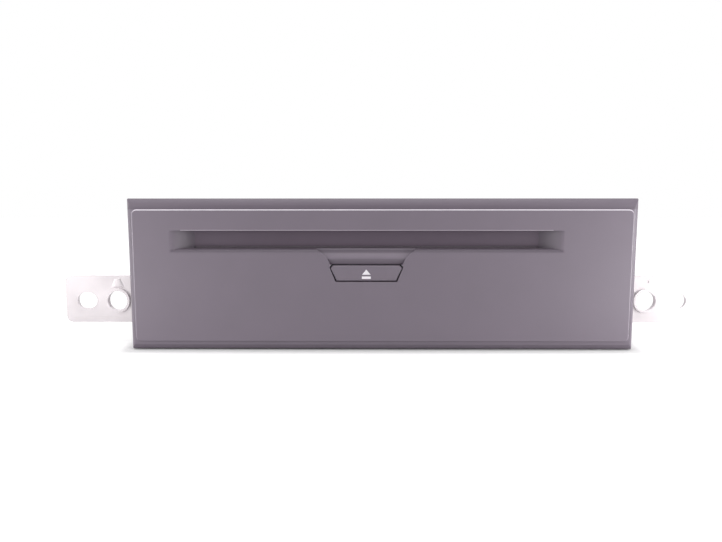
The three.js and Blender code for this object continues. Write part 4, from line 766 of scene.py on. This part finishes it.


# White paper that glows so that it stays white. Beside the drive's footprint it glows less: this keeps the
# real shadow, and the duller band in the footprint's shape is partly painted shadow
paper, tree, shader, place = finish("white_paper_floor", Roughness=0.9)
shader.inputs["Base Color"].default_value = linear("#f2f2f2")
across = node(tree, "ShaderNodeVectorMath", {0: place}, operation="ABSOLUTE").outputs[0]
outside = node(tree, "ShaderNodeVectorMath", {0: across, 1: FOOTPRINT}, operation="SUBTRACT").outputs[0]
gap = node(tree, "ShaderNodeVectorMath", {0: outside, 1: (0, 0, 0)}, operation="MAXIMUM").outputs[0]
off_drive = node(tree, "ShaderNodeVectorMath", {0: gap}, operation="LENGTH").outputs["Value"]
nearby = node(tree, "ShaderNodeMapRange", {"Value": off_drive, "From Min": SHADOW_SPAN[0],
                                           "From Max": SHADOW_SPAN[1], "To Min": 0.0, "To Max": NEAR_GLOW},
              interpolation_type="SMOOTHSTEP").outputs[0]
away = node(tree, "ShaderNodeMapRange", {"Value": off_drive, "From Min": SHADOW_SPAN[1],
                                         "From Max": FAR_AWAY, "To Min": 0.0, "To Max": FAR_GLOW}).outputs[0]
strength = node(tree, "ShaderNodeMath", {0: nearby, 1: away}, operation="ADD").outputs[0]
glow = node(tree, "ShaderNodeEmission", {"Color": linear("#ffffff"), "Strength": strength}).outputs[0]
glowing = node(tree, "ShaderNodeAddShader", {0: shader.outputs[0], 1: glow}).outputs[0]
seen = node(tree, "ShaderNodeMixShader", {0: seen_as_background(tree), 1: shader.outputs[0], 2: glowing})
tree.links.new(seen.outputs[0], tree.nodes["Material Output"].inputs["Surface"])

bm = bmesh.new()
bmesh.ops.create_grid(bm, x_segments=1, y_segments=1, size=FLOOR_REACH)
floor_mesh = bpy.data.meshes.new("floor")
bm.to_mesh(floor_mesh)
bm.free()
floor_mesh.materials.append(paper)
floor = bpy.data.objects.new("floor", floor_mesh)
bpy.context.scene.collection.objects.link(floor)

world = bpy.data.worlds.new("white_room")
world.use_nodes = True
bpy.context.scene.world = world
tree = world.node_tree
room = tree.nodes["Background"]
room.inputs["Color"].default_value = linear("#ffffff")
room.inputs["Strength"].default_value = ROOM_LIGHT
white = node(tree, "ShaderNodeBackground", {"Color": linear("#ffffff"), "Strength": 1.0}).outputs[0]
seen = node(tree, "ShaderNodeMixShader", {0: seen_as_background(tree), 1: room.outputs[0], 2: white})
tree.links.new(seen.outputs[0], tree.nodes["World Output"].inputs["Surface"])

# Softboxes: name, place, the point it is aimed at, width and height, all in metres, and watts. The large ones
# light the whole drive, the low ones lift the panel's ends and its lower corners.

for name, place, aim, size, watts in (
        ("softbox_above", (0, -0.25, 1.1), (0, 0, 0.03), (1.0, 0.7), 6.0),
        ("softbox_left", (-0.95, -0.95, 0.4), (0, -0.08, 0.03), (0.5, 0.9), 1.55),
        ("softbox_right", (0.95, -0.95, 0.4), (0, -0.08, 0.03), (0.5, 0.9), 1.7),
        ("low_panel_left", (-0.21, -0.16, 0.03), (-0.09, -0.088, 0.03), (0.08, 0.12), 0.14),
        ("corner_glow_left", (-0.13, -0.15, 0.012), (-0.088, -0.088, 0.008), (0.05, 0.02), 0.006),
        ("low_panel_right", (0.21, -0.16, 0.03), (0.09, -0.088, 0.03), (0.08, 0.12), 0.20),
        ("corner_glow_right", (0.13, -0.15, 0.012), (0.088, -0.088, 0.008), (0.05, 0.02), 0.012)):
    light = bpy.data.lights.new(name, "AREA")
    light.shape = "RECTANGLE"
    light.size, light.size_y = size
    light.energy = watts
    softbox = bpy.data.objects.new(name, light)
    bpy.context.scene.collection.objects.link(softbox)
    softbox.location = place
    softbox.rotation_euler = (Vector(aim) - Vector(place)).to_track_quat("-Z", "Y").to_euler()

bpy.context.scene.view_settings.view_transform = "Standard"
